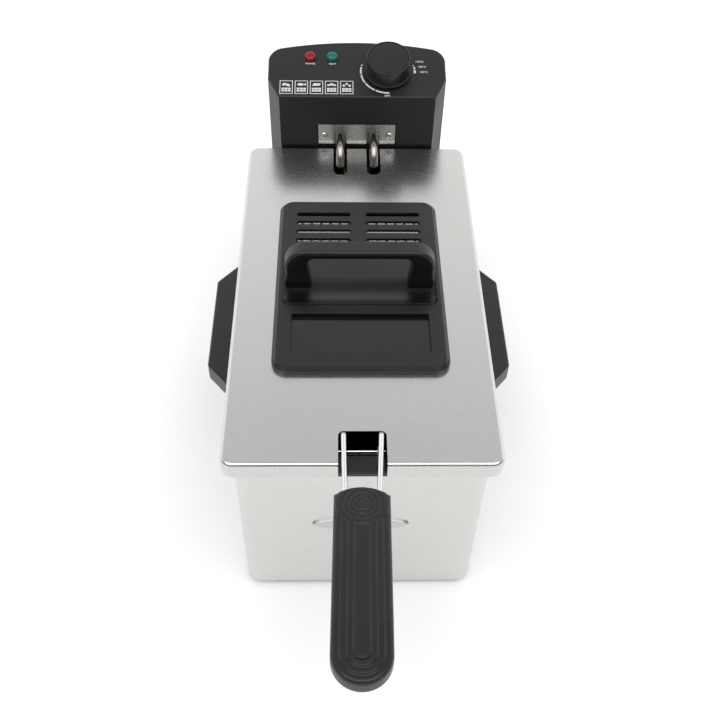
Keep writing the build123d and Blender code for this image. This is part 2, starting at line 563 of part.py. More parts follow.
with BuildPart() as interlock_plunger:
    rods(across(CONTROL_FRONT + 8), [(0, PLUNGER_Z)], PLUNGER_RADIUS, 10.6)
    fillet(interlock_plunger.faces().sort_by(Axis.Y)[0].edges(), 0.8)
save(interlock_plunger, "interlock_plunger")

# Thermal cut-out on the cover, with its reset button.
CUTOUT_END = 288.5
with BuildPart() as thermal_cutout:
    rods(across(CUTOUT_END), [(RESET_X, RESET_Z)], 9.0, 22)
    rods(across(CUTOUT_END), [(RESET_X, RESET_Z)], RESET_RADIUS + 0.05, 16, Mode.SUBTRACT)
save(thermal_cutout, "thermal_cutout")

with BuildPart() as reset_button:
    rods(across(295.0), [(RESET_X, RESET_Z)], RESET_RADIUS, 295.0 - CUTOUT_END + 12)
    fillet(reset_button.faces().sort_by(Axis.Y)[-1].edges(), 1.2)
save(reset_button, "reset_button")

# Strain relief where the mains cord enters: nozzle, collar, neck through the wall, and nut.
GLAND_END, CORD_RADIUS = 298.0, 3.6
with BuildPart() as cord_gland:
    rods(across(GLAND_END), [(GLAND_X, GLAND_Z)], 6.8, 5)
    rods(across(GLAND_END - 0.4), [(GLAND_X, GLAND_Z)], 11.0, 2.2)
    rods(across(GLAND_END - 2.5), [(GLAND_X, GLAND_Z)], GLAND_RADIUS, 11.5)
    rods(across(GLAND_END - 10.2), [(GLAND_X, GLAND_Z)], 10.5, 3.8)
    rods(across(GLAND_END), [(GLAND_X, GLAND_Z)], CORD_RADIUS, 15, Mode.SUBTRACT)
    fillet(cord_gland.faces().sort_by(Axis.Y)[-1].edges(), 0.3)
save(cord_gland, "cord_gland")

# Knob ------------------------------------------------------------------------------------------

KNOB_GAP = 0.6
with BuildPart() as thermostat_shaft:
    rods(PANEL.offset(-19.5), [(KNOB_X, KNOB_S)], SHAFT_RADIUS, 19.5 + KNOB_HEIGHT - 4)
save(thermostat_shaft, "thermostat_shaft")

KNOB_RING, KNOB_RING_HEIGHT, CAP_RADIUS, CAP_SEAT = KNOB_RADIUS + 1.6, 3.0, KNOB_RADIUS - 2.5, 1.0
with BuildPart() as knob:
    rods(PANEL.offset(KNOB_GAP), [(KNOB_X, KNOB_S)], KNOB_RING, KNOB_RING_HEIGHT)
    fillet(knob.faces().sort_by(Axis.Z)[-1].edges(), 0.6)
    rods(PANEL.offset(KNOB_GAP), [(KNOB_X, KNOB_S)], KNOB_RADIUS, KNOB_HEIGHT - KNOB_GAP)
    fillet(knob.faces().sort_by(Axis.Z)[-1].edges(), 1.0)
    rods(PANEL.offset(KNOB_HEIGHT - CAP_SEAT), [(KNOB_X, KNOB_S)], CAP_RADIUS, 2, Mode.SUBTRACT)
    rods(PANEL, [(KNOB_X, KNOB_S)], SHAFT_RADIUS, KNOB_HEIGHT - 4, Mode.SUBTRACT)
save(knob, "knob")

with BuildPart() as knob_cap:
    rods(PANEL.offset(KNOB_HEIGHT - CAP_SEAT), [(KNOB_X, KNOB_S)], CAP_RADIUS, CAP_SEAT + 0.2)
save(knob_cap, "knob_cap")

# Basket ----------------------------------------------------------------------------------------

BASKET_LENGTH = BASKET_REAR - BASKET_FRONT
BASKET_MID = (BASKET_REAR + BASKET_FRONT) / 2
# Mesh tray, made as a thin-walled solid of its true outer shape.
with BuildPart() as basket_cavity:
    plate(
        BASKET_WIDTH - 2 * BASKET_WALL,
        BASKET_LENGTH - 2 * BASKET_WALL,
        BASKET_CORNER - BASKET_WALL,
        BASKET_BOTTOM + BASKET_WALL,
        BASKET_TOP + 1,
        BASKET_MID,
    )
    fillet(basket_cavity.faces().sort_by(Axis.Z)[0].edges(), 8.8)
with BuildPart() as basket_mesh:
    plate(BASKET_WIDTH, BASKET_LENGTH, BASKET_CORNER, BASKET_BOTTOM, BASKET_TOP, BASKET_MID)
    fillet(basket_mesh.faces().sort_by(Axis.Z)[0].edges(), 10)
    add(basket_cavity.part, mode=Mode.SUBTRACT)
save(basket_mesh, "basket_mesh")

# Rim wire that sits on the mesh's top edge.
RIM_RADIUS = 1.9
with BuildPart() as basket_rim:
    half_x, half_y = BASKET_WIDTH / 2 - RIM_RADIUS, BASKET_LENGTH / 2 - RIM_RADIUS
    with BuildLine(Plane.XY.offset(BASKET_TOP + RIM_RADIUS)) as route:
        FilletPolyline(
            (half_x, BASKET_MID - half_y),
            (half_x, BASKET_MID + half_y),
            (-half_x, BASKET_MID + half_y),
            (-half_x, BASKET_MID - half_y),
            radius=BASKET_CORNER - RIM_RADIUS,
            close=True,
        )
    with BuildSketch(Plane(origin=route.line @ 0, z_dir=route.line % 0)):
        Circle(RIM_RADIUS)
    sweep(path=route.line)
save(basket_rim, "basket_rim")

# Support wires: three hoops across the tray and two along it, outside the mesh.
STRUT = 1.6
with BuildPart() as basket_frame:
    for hoop_y in (-55.0, 40.0, 135.0):
        side_x = BASKET_WIDTH / 2 + STRUT
        with BuildLine(Plane.XZ.offset(-hoop_y)) as route:
            FilletPolyline(
                (-side_x, BASKET_TOP - 2),
                (-side_x, BASKET_BOTTOM - STRUT),
                (side_x, BASKET_BOTTOM - STRUT),
                (side_x, BASKET_TOP - 2),
                radius=10 + STRUT,
            )
        with BuildSketch(Plane(origin=route.line @ 0, z_dir=route.line % 0)):
            Circle(STRUT)
        sweep(path=route.line)
with BuildPart() as basket_runners:
    for runner_x in (-34.0, 34.0):
        with BuildLine(Plane.YZ.offset(runner_x)) as route:
            FilletPolyline(
                (BASKET_FRONT - STRUT, BASKET_TOP - 2),
                (BASKET_FRONT - STRUT, BASKET_BOTTOM - 3 * STRUT),
                (BASKET_REAR + STRUT, BASKET_BOTTOM - 3 * STRUT),
                (BASKET_REAR + STRUT, BASKET_TOP - 2),
                radius=10 + STRUT,
            )
        with BuildSketch(Plane(origin=route.line @ 0, z_dir=route.line % 0)):
            Circle(STRUT)
        sweep(path=route.line)
save(basket_frame, "basket_hoops")
save(basket_runners, "basket_runners")

# Clamp that holds the handle's wire against the tray, and the hook that hangs it to drain.
with BuildPart() as handle_bracket:
    with BuildSketch(across(BASKET_FRONT)):
        with Locations((0, 138)):
            RectangleRounded(42, 20, 3)
    extrude(amount=5.2)
    rods(Plane.XY.offset(120), [(-WIRE_X, WIRE_Y), (WIRE_X, WIRE_Y)], WIRE_RADIUS, 40, Mode.SUBTRACT)
save(handle_bracket, "handle_bracket")

with BuildPart() as drain_hook:
    with BuildSketch(Plane.YZ.offset(-15)):
        with BuildLine():
            Polyline(
                (BASKET_FRONT, 86),
                (BASKET_FRONT, 106),
                (BASKET_FRONT - 5.0, 106),
                (BASKET_FRONT - 5.0, 92),
                (BASKET_FRONT - 3.8, 92),
                (BASKET_FRONT - 3.8, 104.8),
                (BASKET_FRONT - 1.2, 104.8),
                (BASKET_FRONT - 1.2, 86),
                close=True,
            )
        make_face()
    extrude(amount=30)
save(drain_hook, "drain_hook")

# Handle wire: up from the tray through the lid's notch, then forwards into the grip.
WIRE_IN_GRIP = 60.0
WIRE_HIGH = LID_TOP + 7.7 - tan(radians(GRIP_TILT)) * (WIRE_Y - GRIP_REAR)
WIRE_POINTS = [
    tuple(GRIP.from_local_coords((-WIRE_GRIP_X, -WIRE_IN_GRIP, 0))),
    (-WIRE_X, WIRE_Y, WIRE_HIGH),
    (-WIRE_X, WIRE_Y, WIRE_BOTTOM),
    (WIRE_X, WIRE_Y, WIRE_BOTTOM),
    (WIRE_X, WIRE_Y, WIRE_HIGH),
    tuple(GRIP.from_local_coords((WIRE_GRIP_X, -WIRE_IN_GRIP, 0))),
]
with BuildPart() as handle_wires:
    with BuildLine() as route:
        FilletPolyline(*WIRE_POINTS, radius=[4.5, 5, 5, 4.5])
    with BuildSketch(Plane(origin=route.line @ 0, z_dir=route.line % 0)):
        Circle(WIRE_RADIUS)
    sweep(path=route.line)
save(handle_wires, "handle_wires")


def grip_block(low, high):
    """Part of the grip between two heights in its own tilted plane."""
    half = GRIP_WIDTH / 2
    with BuildSketch(GRIP.offset(low)) as outline:
        with BuildLine():
            ThreePointArc((-half, -6), (0, 0), (half, -6))
            Line((half, -6), (half, -GRIP_LENGTH + half))
            ThreePointArc((half, -GRIP_LENGTH + half), (0, -GRIP_LENGTH), (-half, -GRIP_LENGTH + half))
            Line((-half, -GRIP_LENGTH + half), (-half, -6))
        make_face()
    return extrude(outline.sketch, amount=high - low)


# Grip: two halves clamped over the wire, held by screws from below.
GRIP_SCREWS = [(0, -32), (0, -108)]
with BuildPart() as grip_top:
    grip_block(0, GRIP_ABOVE)
    fillet(grip_top.faces().sort_by(Axis.Z)[-1].edges(), 3.0)
    add(handle_wires.part, mode=Mode.SUBTRACT)
    rods(GRIP, GRIP_SCREWS, 1.5, 5, Mode.SUBTRACT)
save(grip_top, "grip_top")

with BuildPart() as grip_bottom:
    grip_block(-GRIP_BELOW, 0)
    fillet(grip_bottom.faces().sort_by(Axis.Z)[0].edges(), 6.0)
    add(handle_wires.part, mode=Mode.SUBTRACT)
    rods(GRIP.offset(-GRIP_BELOW), GRIP_SCREWS, 1.5, GRIP_BELOW, Mode.SUBTRACT)
    rods(GRIP.offset(-GRIP_BELOW), GRIP_SCREWS, 3.4, 4, Mode.SUBTRACT)
save(grip_bottom, "grip_bottom")

with BuildPart() as grip_screws:
    rods(GRIP.offset(-GRIP_BELOW + 2), GRIP_SCREWS, 3.0, 2)
    rods(GRIP.offset(-GRIP_BELOW + 4), GRIP_SCREWS, 1.5, GRIP_BELOW)
save(grip_screws, "grip_screws")

# Lid -------------------------------------------------------------------------------------------


def lid_openings(extra, low):
    """Cut the handle notch and the two tube slots, each wider by extra, through a lid piece."""
    with BuildSketch(Plane.XY.offset(low)) as openings:
        with Locations((0, LID_FRONT + NOTCH_DEPTH + extra)):
            RectangleRounded(
                NOTCH_WIDTH + 2 * extra, 60, NOTCH_CORNER, align=(Align.CENTER, Align.MAX)
            )
        for x in (-TUBE_X, TUBE_X):
            radius = TUBE_SLOT_WIDTH / 2 + extra
            with Locations((x, TUBE_SLOT_START + TUBE_SLOT_WIDTH / 2)):
                Circle(radius)
                Rectangle(2 * radius, 80, align=(Align.CENTER, Align.MIN))
    return extrude(openings.sketch, amount=LID_TOP + 5 - low, mode=Mode.SUBTRACT)


# Pressed steel lid with a deep skirt, and openings under the window and the filter.
LID_LOW = LID_TOP - LID_SKIRT
GLASS_OPENING = (WINDOW_WIDTH - 10, WINDOW_REAR - WINDOW_FRONT - 10)
FILTER_FRONT, FILTER_REAR = LID_FRONT + 216.0, LID_FRONT + 264.0
FILTER_MID = (FILTER_FRONT + FILTER_REAR) / 2
WINDOW_MID = (WINDOW_FRONT + WINDOW_REAR) / 2
LID_SCREWS = [(x, y) for x in (-50, 50) for y in ((ARCH_FRONT + ARCH_REAR) / 2, SEAT_REAR - 8)]
with BuildPart() as lid_shell:
    plate(LID_WIDTH, LID_LENGTH, LID_CORNER, LID_LOW, LID_TOP)
    fillet(lid_shell.faces().sort_by(Axis.Z)[-1].edges(), LID_EDGE)
    with BuildPart(mode=Mode.PRIVATE) as hollow:
        plate(LID_WIDTH - 2 * SHEET, LID_LENGTH - 2 * SHEET, LID_CORNER - SHEET, LID_LOW - 1, LID_UNDER)
        fillet(hollow.faces().sort_by(Axis.Z)[-1].edges(), LID_EDGE - SHEET)
    add(hollow.part, mode=Mode.SUBTRACT)
    lid_openings(0, LID_LOW - 2)
    plate_cut(*GLASS_OPENING, 4, LID_UNDER - 1, LID_TOP + 1, WINDOW_MID)
    plate_cut(112, FILTER_REAR - FILTER_FRONT, 6, LID_UNDER - 1, LID_TOP + 1, FILTER_MID)
    rods(Plane.XY.offset(LID_UNDER - 1), LID_SCREWS, 2.0, 3, Mode.SUBTRACT)
save(lid_shell, "lid_shell")

# Inner pressing that seats the lid on the pan's flange and reaches into the pan.
SEAT_Z, LIP_LOW = PAN_TOP + 0.3, 162.0
with BuildPart() as lid_liner:
    plate(182, 343, 12, SEAT_Z, LID_UNDER)
    plate_cut(182 - 2 * SHEET, 343 - 2 * SHEET, 12 - SHEET, SEAT_Z + SHEET, LID_UNDER + 1)
    plate(155, 316, 21, LIP_LOW, SEAT_Z + SHEET)
    plate_cut(155 - 2 * SHEET, 316 - 2 * SHEET, 21 - SHEET, LIP_LOW - 1, LID_UNDER)
    lid_openings(1.0, LIP_LOW - 2)
save(lid_liner, "lid_liner")

# Filter cover: bevelled black moulding with vent slots, window frame and a seat for the handle.
COVER_MID = (COVER_FRONT + COVER_REAR) / 2
COVER_TOP_Z = LID_TOP + COVER_HEIGHT
with BuildPart() as filter_cover:
    plate(COVER_WIDTH, COVER_REAR - COVER_FRONT, COVER_CORNER, LID_TOP, COVER_TOP_Z, COVER_MID)
    chamfer(filter_cover.faces().sort_by(Axis.Z)[-1].edges(), length=COVER_BEVEL)
    # window: frame opening above, glass pocket below
    plate_cut(WINDOW_WIDTH, WINDOW_REAR - WINDOW_FRONT, 1, LID_TOP, COVER_TOP_Z + 1, WINDOW_MID)
    plate_cut(WINDOW_WIDTH + 4, WINDOW_REAR - WINDOW_FRONT + 4, 2, LID_TOP - 1, LID_TOP + 3, WINDOW_MID)
    # hollow over the filter, vent slots through its roof
    plate_cut(116, FILTER_REAR - FILTER_FRONT + 4, 6, LID_TOP - 1, COVER_TOP_Z - 2.5, FILTER_MID)
    with BuildSketch(Plane.XY.offset(LID_TOP)):
        with Locations(*[(s * VENT_X, y) for s in (-1, 1) for y in VENT_ROWS]):
            SlotOverall(VENT_LENGTH, VENT_WIDTH)
    extrude(amount=COVER_HEIGHT + 1, mode=Mode.SUBTRACT)
    # seat of the handle
    plate_cut(
        SEAT_WIDTH + 1,
        SEAT_REAR - SEAT_FRONT + 1,
        5.5,
        LID_TOP,
        COVER_TOP_Z + 1,
        (SEAT_FRONT + SEAT_REAR) / 2,
    )
save(filter_cover, "filter_cover")

# Window: gasket on the lid, toughened glass above it.
with BuildPart() as window_gasket:
    plate(WINDOW_WIDTH + 3, WINDOW_REAR - WINDOW_FRONT + 3, 2, LID_TOP, LID_TOP + 1, WINDOW_MID)
    plate_cut(*GLASS_OPENING, 4, LID_TOP - 1, LID_TOP + 2, WINDOW_MID)
save(window_gasket, "window_gasket")

with BuildPart() as window_glass:
    plate(WINDOW_WIDTH + 3, WINDOW_REAR - WINDOW_FRONT + 3, 2, LID_TOP + 1, LID_TOP + 3, WINDOW_MID)
save(window_glass, "window_glass")

# Filter: perforated steel screen over a felt mat, in a tray that hangs in the lid.
with BuildPart() as filter_screen:
    plate(110, FILTER_REAR - FILTER_FRONT - 2, 5, LID_TOP + 0.4, LID_TOP + 1.0, FILTER_MID)
    with BuildSketch(Plane.XY.offset(LID_TOP)):
        with Locations((0, FILTER_MID)):
            with GridLocations(8, 7, 13, 6):
                Circle(1.2)
    extrude(amount=2, mode=Mode.SUBTRACT)
save(filter_screen, "filter_screen")

with BuildPart() as filter_mat:
    plate(106, FILTER_REAR - FILTER_FRONT - 6, 4, LID_UNDER - 3.6, LID_TOP + 0.4, FILTER_MID)
save(filter_mat, "filter_mat")

with BuildPart() as filter_tray:
    plate(120, FILTER_REAR - FILTER_FRONT + 8, 8, LID_UNDER - 1.2, LID_UNDER, FILTER_MID)
    plate(110, FILTER_REAR - FILTER_FRONT - 2, 6, LID_UNDER - 5, LID_UNDER - 1.2, FILTER_MID)
    plate_cut(106, FILTER_REAR - FILTER_FRONT - 6, 4, LID_UNDER - 3.6, LID_UNDER + 1, FILTER_MID)
    with BuildSketch(Plane.XY.offset(LID_UNDER - 6)):
        with Locations((0, FILTER_MID)):
            with GridLocations(22, 9, 4, 4):
                SlotOverall(16, 4)
    extrude(amount=4, mode=Mode.SUBTRACT)
save(filter_tray, "filter_tray")

# Lid handle: a base with a finger well, and an arch across it.
WELL_FRONT, WELL_REAR, WELL_DEPTH, WELL_WIDTH = SEAT_FRONT + 1.5, LID_FRONT + 179.0, 4.0, SEAT_WIDTH + 2
LEG_LOW, LEG_OUT, LEG_IN, LEG_SPREAD = LID_TOP + 1.5, 60.0, 38.4, 4.6
BAR_DEPTH, BAR_CORNER, BAR_INNER_CORNER, BAR_EDGE = 7.8, 17.0, 7.0, 2.8
with BuildPart() as lid_handle:
    plate(
        SEAT_WIDTH, SEAT_REAR - SEAT_FRONT, 5, LID_TOP, COVER_TOP_Z, (SEAT_FRONT + SEAT_REAR) / 2
    )
    # concave finger well across the base, which the legs stand in
    with BuildSketch(Plane.YZ.offset(-WELL_WIDTH / 2)):
        with BuildLine():
            ThreePointArc(
                (WELL_FRONT, COVER_TOP_Z),
                ((WELL_FRONT + WELL_REAR) / 2, COVER_TOP_Z - WELL_DEPTH),
                (WELL_REAR, COVER_TOP_Z),
            )
            Line((WELL_REAR, COVER_TOP_Z), (WELL_FRONT, COVER_TOP_Z))
        make_face()
    extrude(amount=WELL_WIDTH, mode=Mode.SUBTRACT)
    with BuildPart(mode=Mode.PRIVATE) as arch:
        with BuildSketch(across(ARCH_REAR)):
            with BuildLine():
                FilletPolyline(
                    (-LEG_OUT + 0.5, LEG_LOW),
                    (-LEG_OUT, ARCH_TOP),
                    (LEG_OUT, ARCH_TOP),
                    (LEG_OUT - 0.5, LEG_LOW),
                    radius=BAR_CORNER,
                )
                Line((LEG_OUT - 0.5, LEG_LOW), (LEG_IN, LEG_LOW))
                FilletPolyline(
                    (LEG_IN, LEG_LOW),
                    (LEG_IN + LEG_SPREAD, ARCH_TOP - BAR_DEPTH),
                    (-LEG_IN - LEG_SPREAD, ARCH_TOP - BAR_DEPTH),
                    (-LEG_IN, LEG_LOW),
                    radius=BAR_INNER_CORNER,
                )
                Line((-LEG_IN, LEG_LOW), (-LEG_OUT + 0.5, LEG_LOW))
            make_face()
        extrude(amount=ARCH_REAR - ARCH_FRONT)
        fillet(arch.edges().group_by(Axis.Y)[0], BAR_EDGE)
        fillet(arch.edges().group_by(Axis.Y)[-1], BAR_EDGE)
    add(arch.part)
    rods(Plane.XY.offset(LID_TOP - 1), LID_SCREWS, 2.0, 5.5, Mode.SUBTRACT)
save(lid_handle, "lid_handle")

# Screws that pull the handle down on the lid from inside.
with BuildPart() as lid_screws:
    rods(Plane.XY.offset(LID_UNDER - 2), LID_SCREWS, 4.0, 2)
    rods(Plane.XY.offset(LID_UNDER), LID_SCREWS, 2.0, 5)
save(lid_screws, "lid_screws")
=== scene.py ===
"""Deep fryer, dressed for rendering: steel housing and lid, black mouldings, enamelled pan,
heating tube, wire basket and its grip. Everything is in metres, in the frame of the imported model."""
from math import cos, pi, radians, sin

import bpy
from mathutils import Matrix, Vector


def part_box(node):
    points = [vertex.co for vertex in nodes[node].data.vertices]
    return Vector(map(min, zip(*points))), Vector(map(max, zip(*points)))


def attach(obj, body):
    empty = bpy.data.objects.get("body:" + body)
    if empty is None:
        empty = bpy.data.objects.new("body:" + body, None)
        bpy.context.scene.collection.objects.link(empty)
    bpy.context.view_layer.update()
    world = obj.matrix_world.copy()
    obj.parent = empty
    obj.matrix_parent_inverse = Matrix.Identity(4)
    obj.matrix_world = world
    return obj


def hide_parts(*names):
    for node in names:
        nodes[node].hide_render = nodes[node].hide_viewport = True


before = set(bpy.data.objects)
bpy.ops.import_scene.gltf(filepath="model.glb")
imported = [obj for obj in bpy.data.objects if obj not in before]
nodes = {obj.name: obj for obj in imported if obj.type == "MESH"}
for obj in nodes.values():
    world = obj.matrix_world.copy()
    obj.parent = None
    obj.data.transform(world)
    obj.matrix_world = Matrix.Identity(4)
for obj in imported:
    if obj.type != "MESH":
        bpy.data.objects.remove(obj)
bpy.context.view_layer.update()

MM = 0.001


# Camera: a long lens on a tripod in front of the fryer, tipped down at the lid.
lid_low, lid_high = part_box("lid_shell")
PITCH, YAW, ROLL = radians(49.22), radians(2.03), radians(1.577)
LENS, SENSOR = 47.16, 36
CAMERA_LEFT, CAMERA_AHEAD, CAMERA_ABOVE = 17.2 * MM, 370.5 * MM, 541.6 * MM
look = Vector((sin(YAW) * cos(PITCH), cos(YAW) * cos(PITCH), -sin(PITCH)))
level_right = Vector((cos(YAW), -sin(YAW), 0))
level_up = level_right.cross(look)
right = level_right * cos(ROLL) + level_up * sin(ROLL)
up = level_up * cos(ROLL) - level_right * sin(ROLL)
camera_data = bpy.data.cameras.new("camera")
camera_data.lens, camera_data.sensor_width = LENS, SENSOR
camera = bpy.data.objects.new("camera", camera_data)
bpy.context.scene.collection.objects.link(camera)
camera.matrix_world = Matrix((right, up, -look)).transposed().to_4x4()
camera.location = Vector((-CAMERA_LEFT, lid_low.y - CAMERA_AHEAD, lid_high.z + CAMERA_ABOVE))
bpy.context.scene.camera = camera
bpy.context.scene.view_settings.view_transform = "Standard"


# Studio: a white floor and a white surround that is brighter low down at the back than overhead
# and much darker in front, with two broad, soft suns from the left and the right.
SKY_STRENGTH, SUN_POWER, SUN_SPREAD, SUN_LEAN = 1.3, 1.05, radians(45), 0.42


def linear(code):
    """Linear RGBA of an sRGB hex colour."""
    channels = [int(code[i : i + 2], 16) / 255 for i in (1, 3, 5)]
    return [c / 12.92 if c <= 0.04045 else ((c + 0.055) / 1.055) ** 2.4 for c in channels] + [1.0]


def add_node(tree, kind, settings=(), links=(), ramp=()):
    """Add a shader node: settings are properties or socket values, links are (socket, output)."""
    node = tree.nodes.new(kind)
    for name, value in dict(settings).items():
        if isinstance(name, int) or name in node.inputs:
            node.inputs[name].default_value = value
        else:
            setattr(node, name, value)
    for name, output in dict(links).items():
        tree.links.new(output, node.inputs[name])
    if ramp:
        while len(node.color_ramp.elements) < len(ramp):
            node.color_ramp.elements.new(0.5)
        for element, (position, colour) in zip(node.color_ramp.elements, ramp):
            element.position, element.color = position, colour
    return node


def grey(value):
    """Neutral RGBA for light."""
    return [value, value, value, 1.0]


world = bpy.data.worlds.new("studio")
bpy.context.scene.world = world
world.use_nodes = True
tree = world.node_tree
tree.nodes.clear()
direction = add_node(tree, "ShaderNodeTexCoord")
axes = add_node(tree, "ShaderNodeSeparateXYZ", links={0: direction.outputs["Generated"]})
rear_sky = add_node(
    tree,
    "ShaderNodeValToRGB",
    links={0: axes.outputs["Z"]},
    ramp=[(0.0, grey(1.0)), (0.5, grey(0.96)), (0.62, grey(0.84)), (0.8, grey(0.56)), (1.0, grey(0.4))],
)
front_sky = add_node(
    tree,
    "ShaderNodeValToRGB",
    links={0: axes.outputs["Z"]},
    ramp=[(0.0, grey(0.3)), (0.3, grey(0.14)), (0.7, grey(0.2)), (1.0, grey(0.4))],
)
towards_rear = add_node(
    tree, "ShaderNodeMapRange", {"From Min": -0.25, "From Max": 0.3}, {"Value": axes.outputs["Y"]}
)
sky = add_node(
    tree,
    "ShaderNodeMix",
    {"data_type": "RGBA"},
    {0: towards_rear.outputs[0], 6: front_sky.outputs[0], 7: rear_sky.outputs[0]},
)
surround = add_node(tree, "ShaderNodeBackground", {"Strength": SKY_STRENGTH}, {0: sky.outputs[2]})
add_node(tree, "ShaderNodeOutputWorld", links={0: surround.outputs[0]})

for side, name in ((-1, "key_left"), (1, "key_right")):
    key = bpy.data.lights.new(name, "SUN")
    key.energy, key.angle = SUN_POWER, SUN_SPREAD
    lamp = bpy.data.objects.new(name, key)
    bpy.context.scene.collection.objects.link(lamp)
    shine = Vector((-side * SUN_LEAN, SUN_LEAN, -1.0))
    lamp.rotation_euler = shine.to_track_quat("-Z", "Y").to_euler()


# Floor: a seamless white sheet, which takes a soft shadow and nearly no reflection. It isn't part
# of the fryer.
FLOOR_SIZE = 12
bpy.ops.object.select_all(action="DESELECT")
bpy.ops.mesh.primitive_plane_add(size=FLOOR_SIZE)
floor = bpy.context.object
floor.name = "floor"
floor_paint = bpy.data.materials.new("floor_paint")
floor_paint.use_nodes = True
paint = floor_paint.node_tree.nodes["Principled BSDF"]
paint.inputs["Base Color"].default_value = linear("#FFFFFF")
paint.inputs["Roughness"].default_value = 0.9
paint.inputs["Specular IOR Level"].default_value = 0.1
floor.data.materials.append(floor_paint)


def new_material(name, colour, roughness, metallic=0.0, **settings):
    """Principled material with its constant values, and the node tree to add a pattern to."""
    material = bpy.data.materials.new(name)
    material.use_nodes = True
    shader = material.node_tree.nodes["Principled BSDF"]
    shader.inputs["Base Color"].default_value = linear(colour)
    shader.inputs["Roughness"].default_value = roughness
    shader.inputs["Metallic"].default_value = metallic
    for socket, value in settings.items():
        shader.inputs[socket.replace("_", " ")].default_value = value
    return material, shader


def dress(material, *names):
    """Give carried-over CAD nodes their material."""
    for name in names:
        nodes[name].material_slots[0].material = material


def brushed(name, colour, roughness, run, contrast, bump_mm=0.02, cloud=0.02):
    """Brushed metal: run gives a scratch's extent in mm along x, y and z."""
    material, shader = new_material(name, colour, roughness, metallic=1.0)
    tree = material.node_tree
    place = add_node(tree, "ShaderNodeTexCoord").outputs["Object"]
    mapping = add_node(
        tree, "ShaderNodeMapping", {"Scale": [1 / (length * MM) for length in run]}, {"Vector": place}
    )
    lines = add_node(
        tree,
        "ShaderNodeTexNoise",
        {"Scale": 1.0, "Detail": 4.0, "Roughness": 0.65},
        {"Vector": mapping.outputs[0]},
    ).outputs[0]
    patches = add_node(
        tree, "ShaderNodeTexNoise", {"Scale": 1 / (60 * MM), "Detail": 3.0}, {"Vector": place}
    ).outputs[0]
    tone = linear(colour)
    shade = add_node(
        tree,
        "ShaderNodeValToRGB",
        links={0: lines},
        ramp=[
            (0.3, [c * (1 - contrast) for c in tone[:3]] + [1]),
            (0.7, [min(1, c * (1 + contrast)) for c in tone[:3]] + [1]),
        ],
    )
    gloss = add_node(
        tree,
        "ShaderNodeMapRange",
        {"From Min": 0.3, "From Max": 0.7, "To Min": roughness - 0.04, "To Max": roughness + 0.04},
        {"Value": lines},
    )
    wiped = add_node(
        tree,
        "ShaderNodeMapRange",
        {"From Min": 0.35, "From Max": 0.65, "To Min": -cloud, "To Max": cloud},
        {"Value": patches},
    )
    total = add_node(
        tree, "ShaderNodeMath", {"operation": "ADD"}, {0: gloss.outputs[0], 1: wiped.outputs[0]}
    )
    bump = add_node(
        tree, "ShaderNodeBump", {"Strength": 0.15, "Distance": bump_mm * MM}, {"Height": lines}
    )
    tree.links.new(shade.outputs[0], shader.inputs["Base Color"])
    tree.links.new(total.outputs[0], shader.inputs["Roughness"])
    tree.links.new(bump.outputs[0], shader.inputs["Normal"])
    return material


# Outer housing: 0.8 mm stainless sheet, folded and welded, with a rolled rim at its top. Its
# short-grained brushed finish runs level round all four walls and spreads highlights sideways.
# The grain is drawn coarser than the real 0.1 mm so that it shows.
housing_steel = brushed("brushed_stainless_housing", "#D6D5D3", 0.33, (9, 9, 0.55), 0.06)
dress(housing_steel, "outer_housing")


def moulded(name, colour, roughness, grain_mm, depth_mm):
    """Moulded plastic, paint or rubber with a fine spark-eroded grain."""
    material, shader = new_material(name, colour, roughness)
    tree = material.node_tree
    place = add_node(tree, "ShaderNodeTexCoord").outputs["Object"]
    grain = add_node(
        tree,
        "ShaderNodeTexNoise",
        {"Scale": 1 / (grain_mm * MM), "Detail": 3.0, "Roughness": 0.6},
        {"Vector": place},
    ).outputs[0]
    patches = add_node(
        tree, "ShaderNodeTexNoise", {"Scale": 1 / (35 * MM), "Detail": 2.0}, {"Vector": place}
    ).outputs[0]
    tone = linear(colour)
    shade = add_node(
        tree,
        "ShaderNodeValToRGB",
        links={0: grain},
        ramp=[
            (0.3, [c * 0.8 for c in tone[:3]] + [1]),
            (0.7, [min(1, c * 1.2) for c in tone[:3]] + [1]),
        ],
    )
    gloss = add_node(
        tree,
        "ShaderNodeMapRange",
        {"From Min": 0.3, "From Max": 0.7, "To Min": roughness - 0.04, "To Max": roughness + 0.04},
        {"Value": patches},
    )
    bump = add_node(
        tree, "ShaderNodeBump", {"Strength": 0.3, "Distance": depth_mm * MM}, {"Height": grain}
    )
    tree.links.new(shade.outputs[0], shader.inputs["Base Color"])
    tree.links.new(gloss.outputs[0], shader.inputs["Roughness"])
    tree.links.new(bump.outputs[0], shader.inputs["Normal"])
    return material


# Base plate: pressed sheet steel with cooling slots, screwed up under the housing. Its black
# powder coat gives a faint orange-peel surface with a dull sheen.
base_paint = moulded("black_powder_coat", "#1D1D1E", 0.5, 1.0, 0.04)
dress(base_paint, "base_plate")


# Feet: four nitrile rubber pads, each held by one screw. Rubber scatters the light, so they look
# matt and slightly grey.
rubber = moulded("black_nitrile_rubber", "#1A1A1A", 0.7, 0.5, 0.02)
dress(rubber, "foot_1", "foot_2", "foot_3", "foot_4")


# Screws and rivets of the housing: zinc-plated steel. The thin bright plating keeps a fine drawn
# grain, so each head shows as a small highlight.
zinc = brushed("zinc_plated_screws", "#E2E2E0", 0.2, (2, 2, 0.4), 0.06)
dress(zinc, "base_screws", "foot_screws", "side_handle_screws", "guide_rivets")


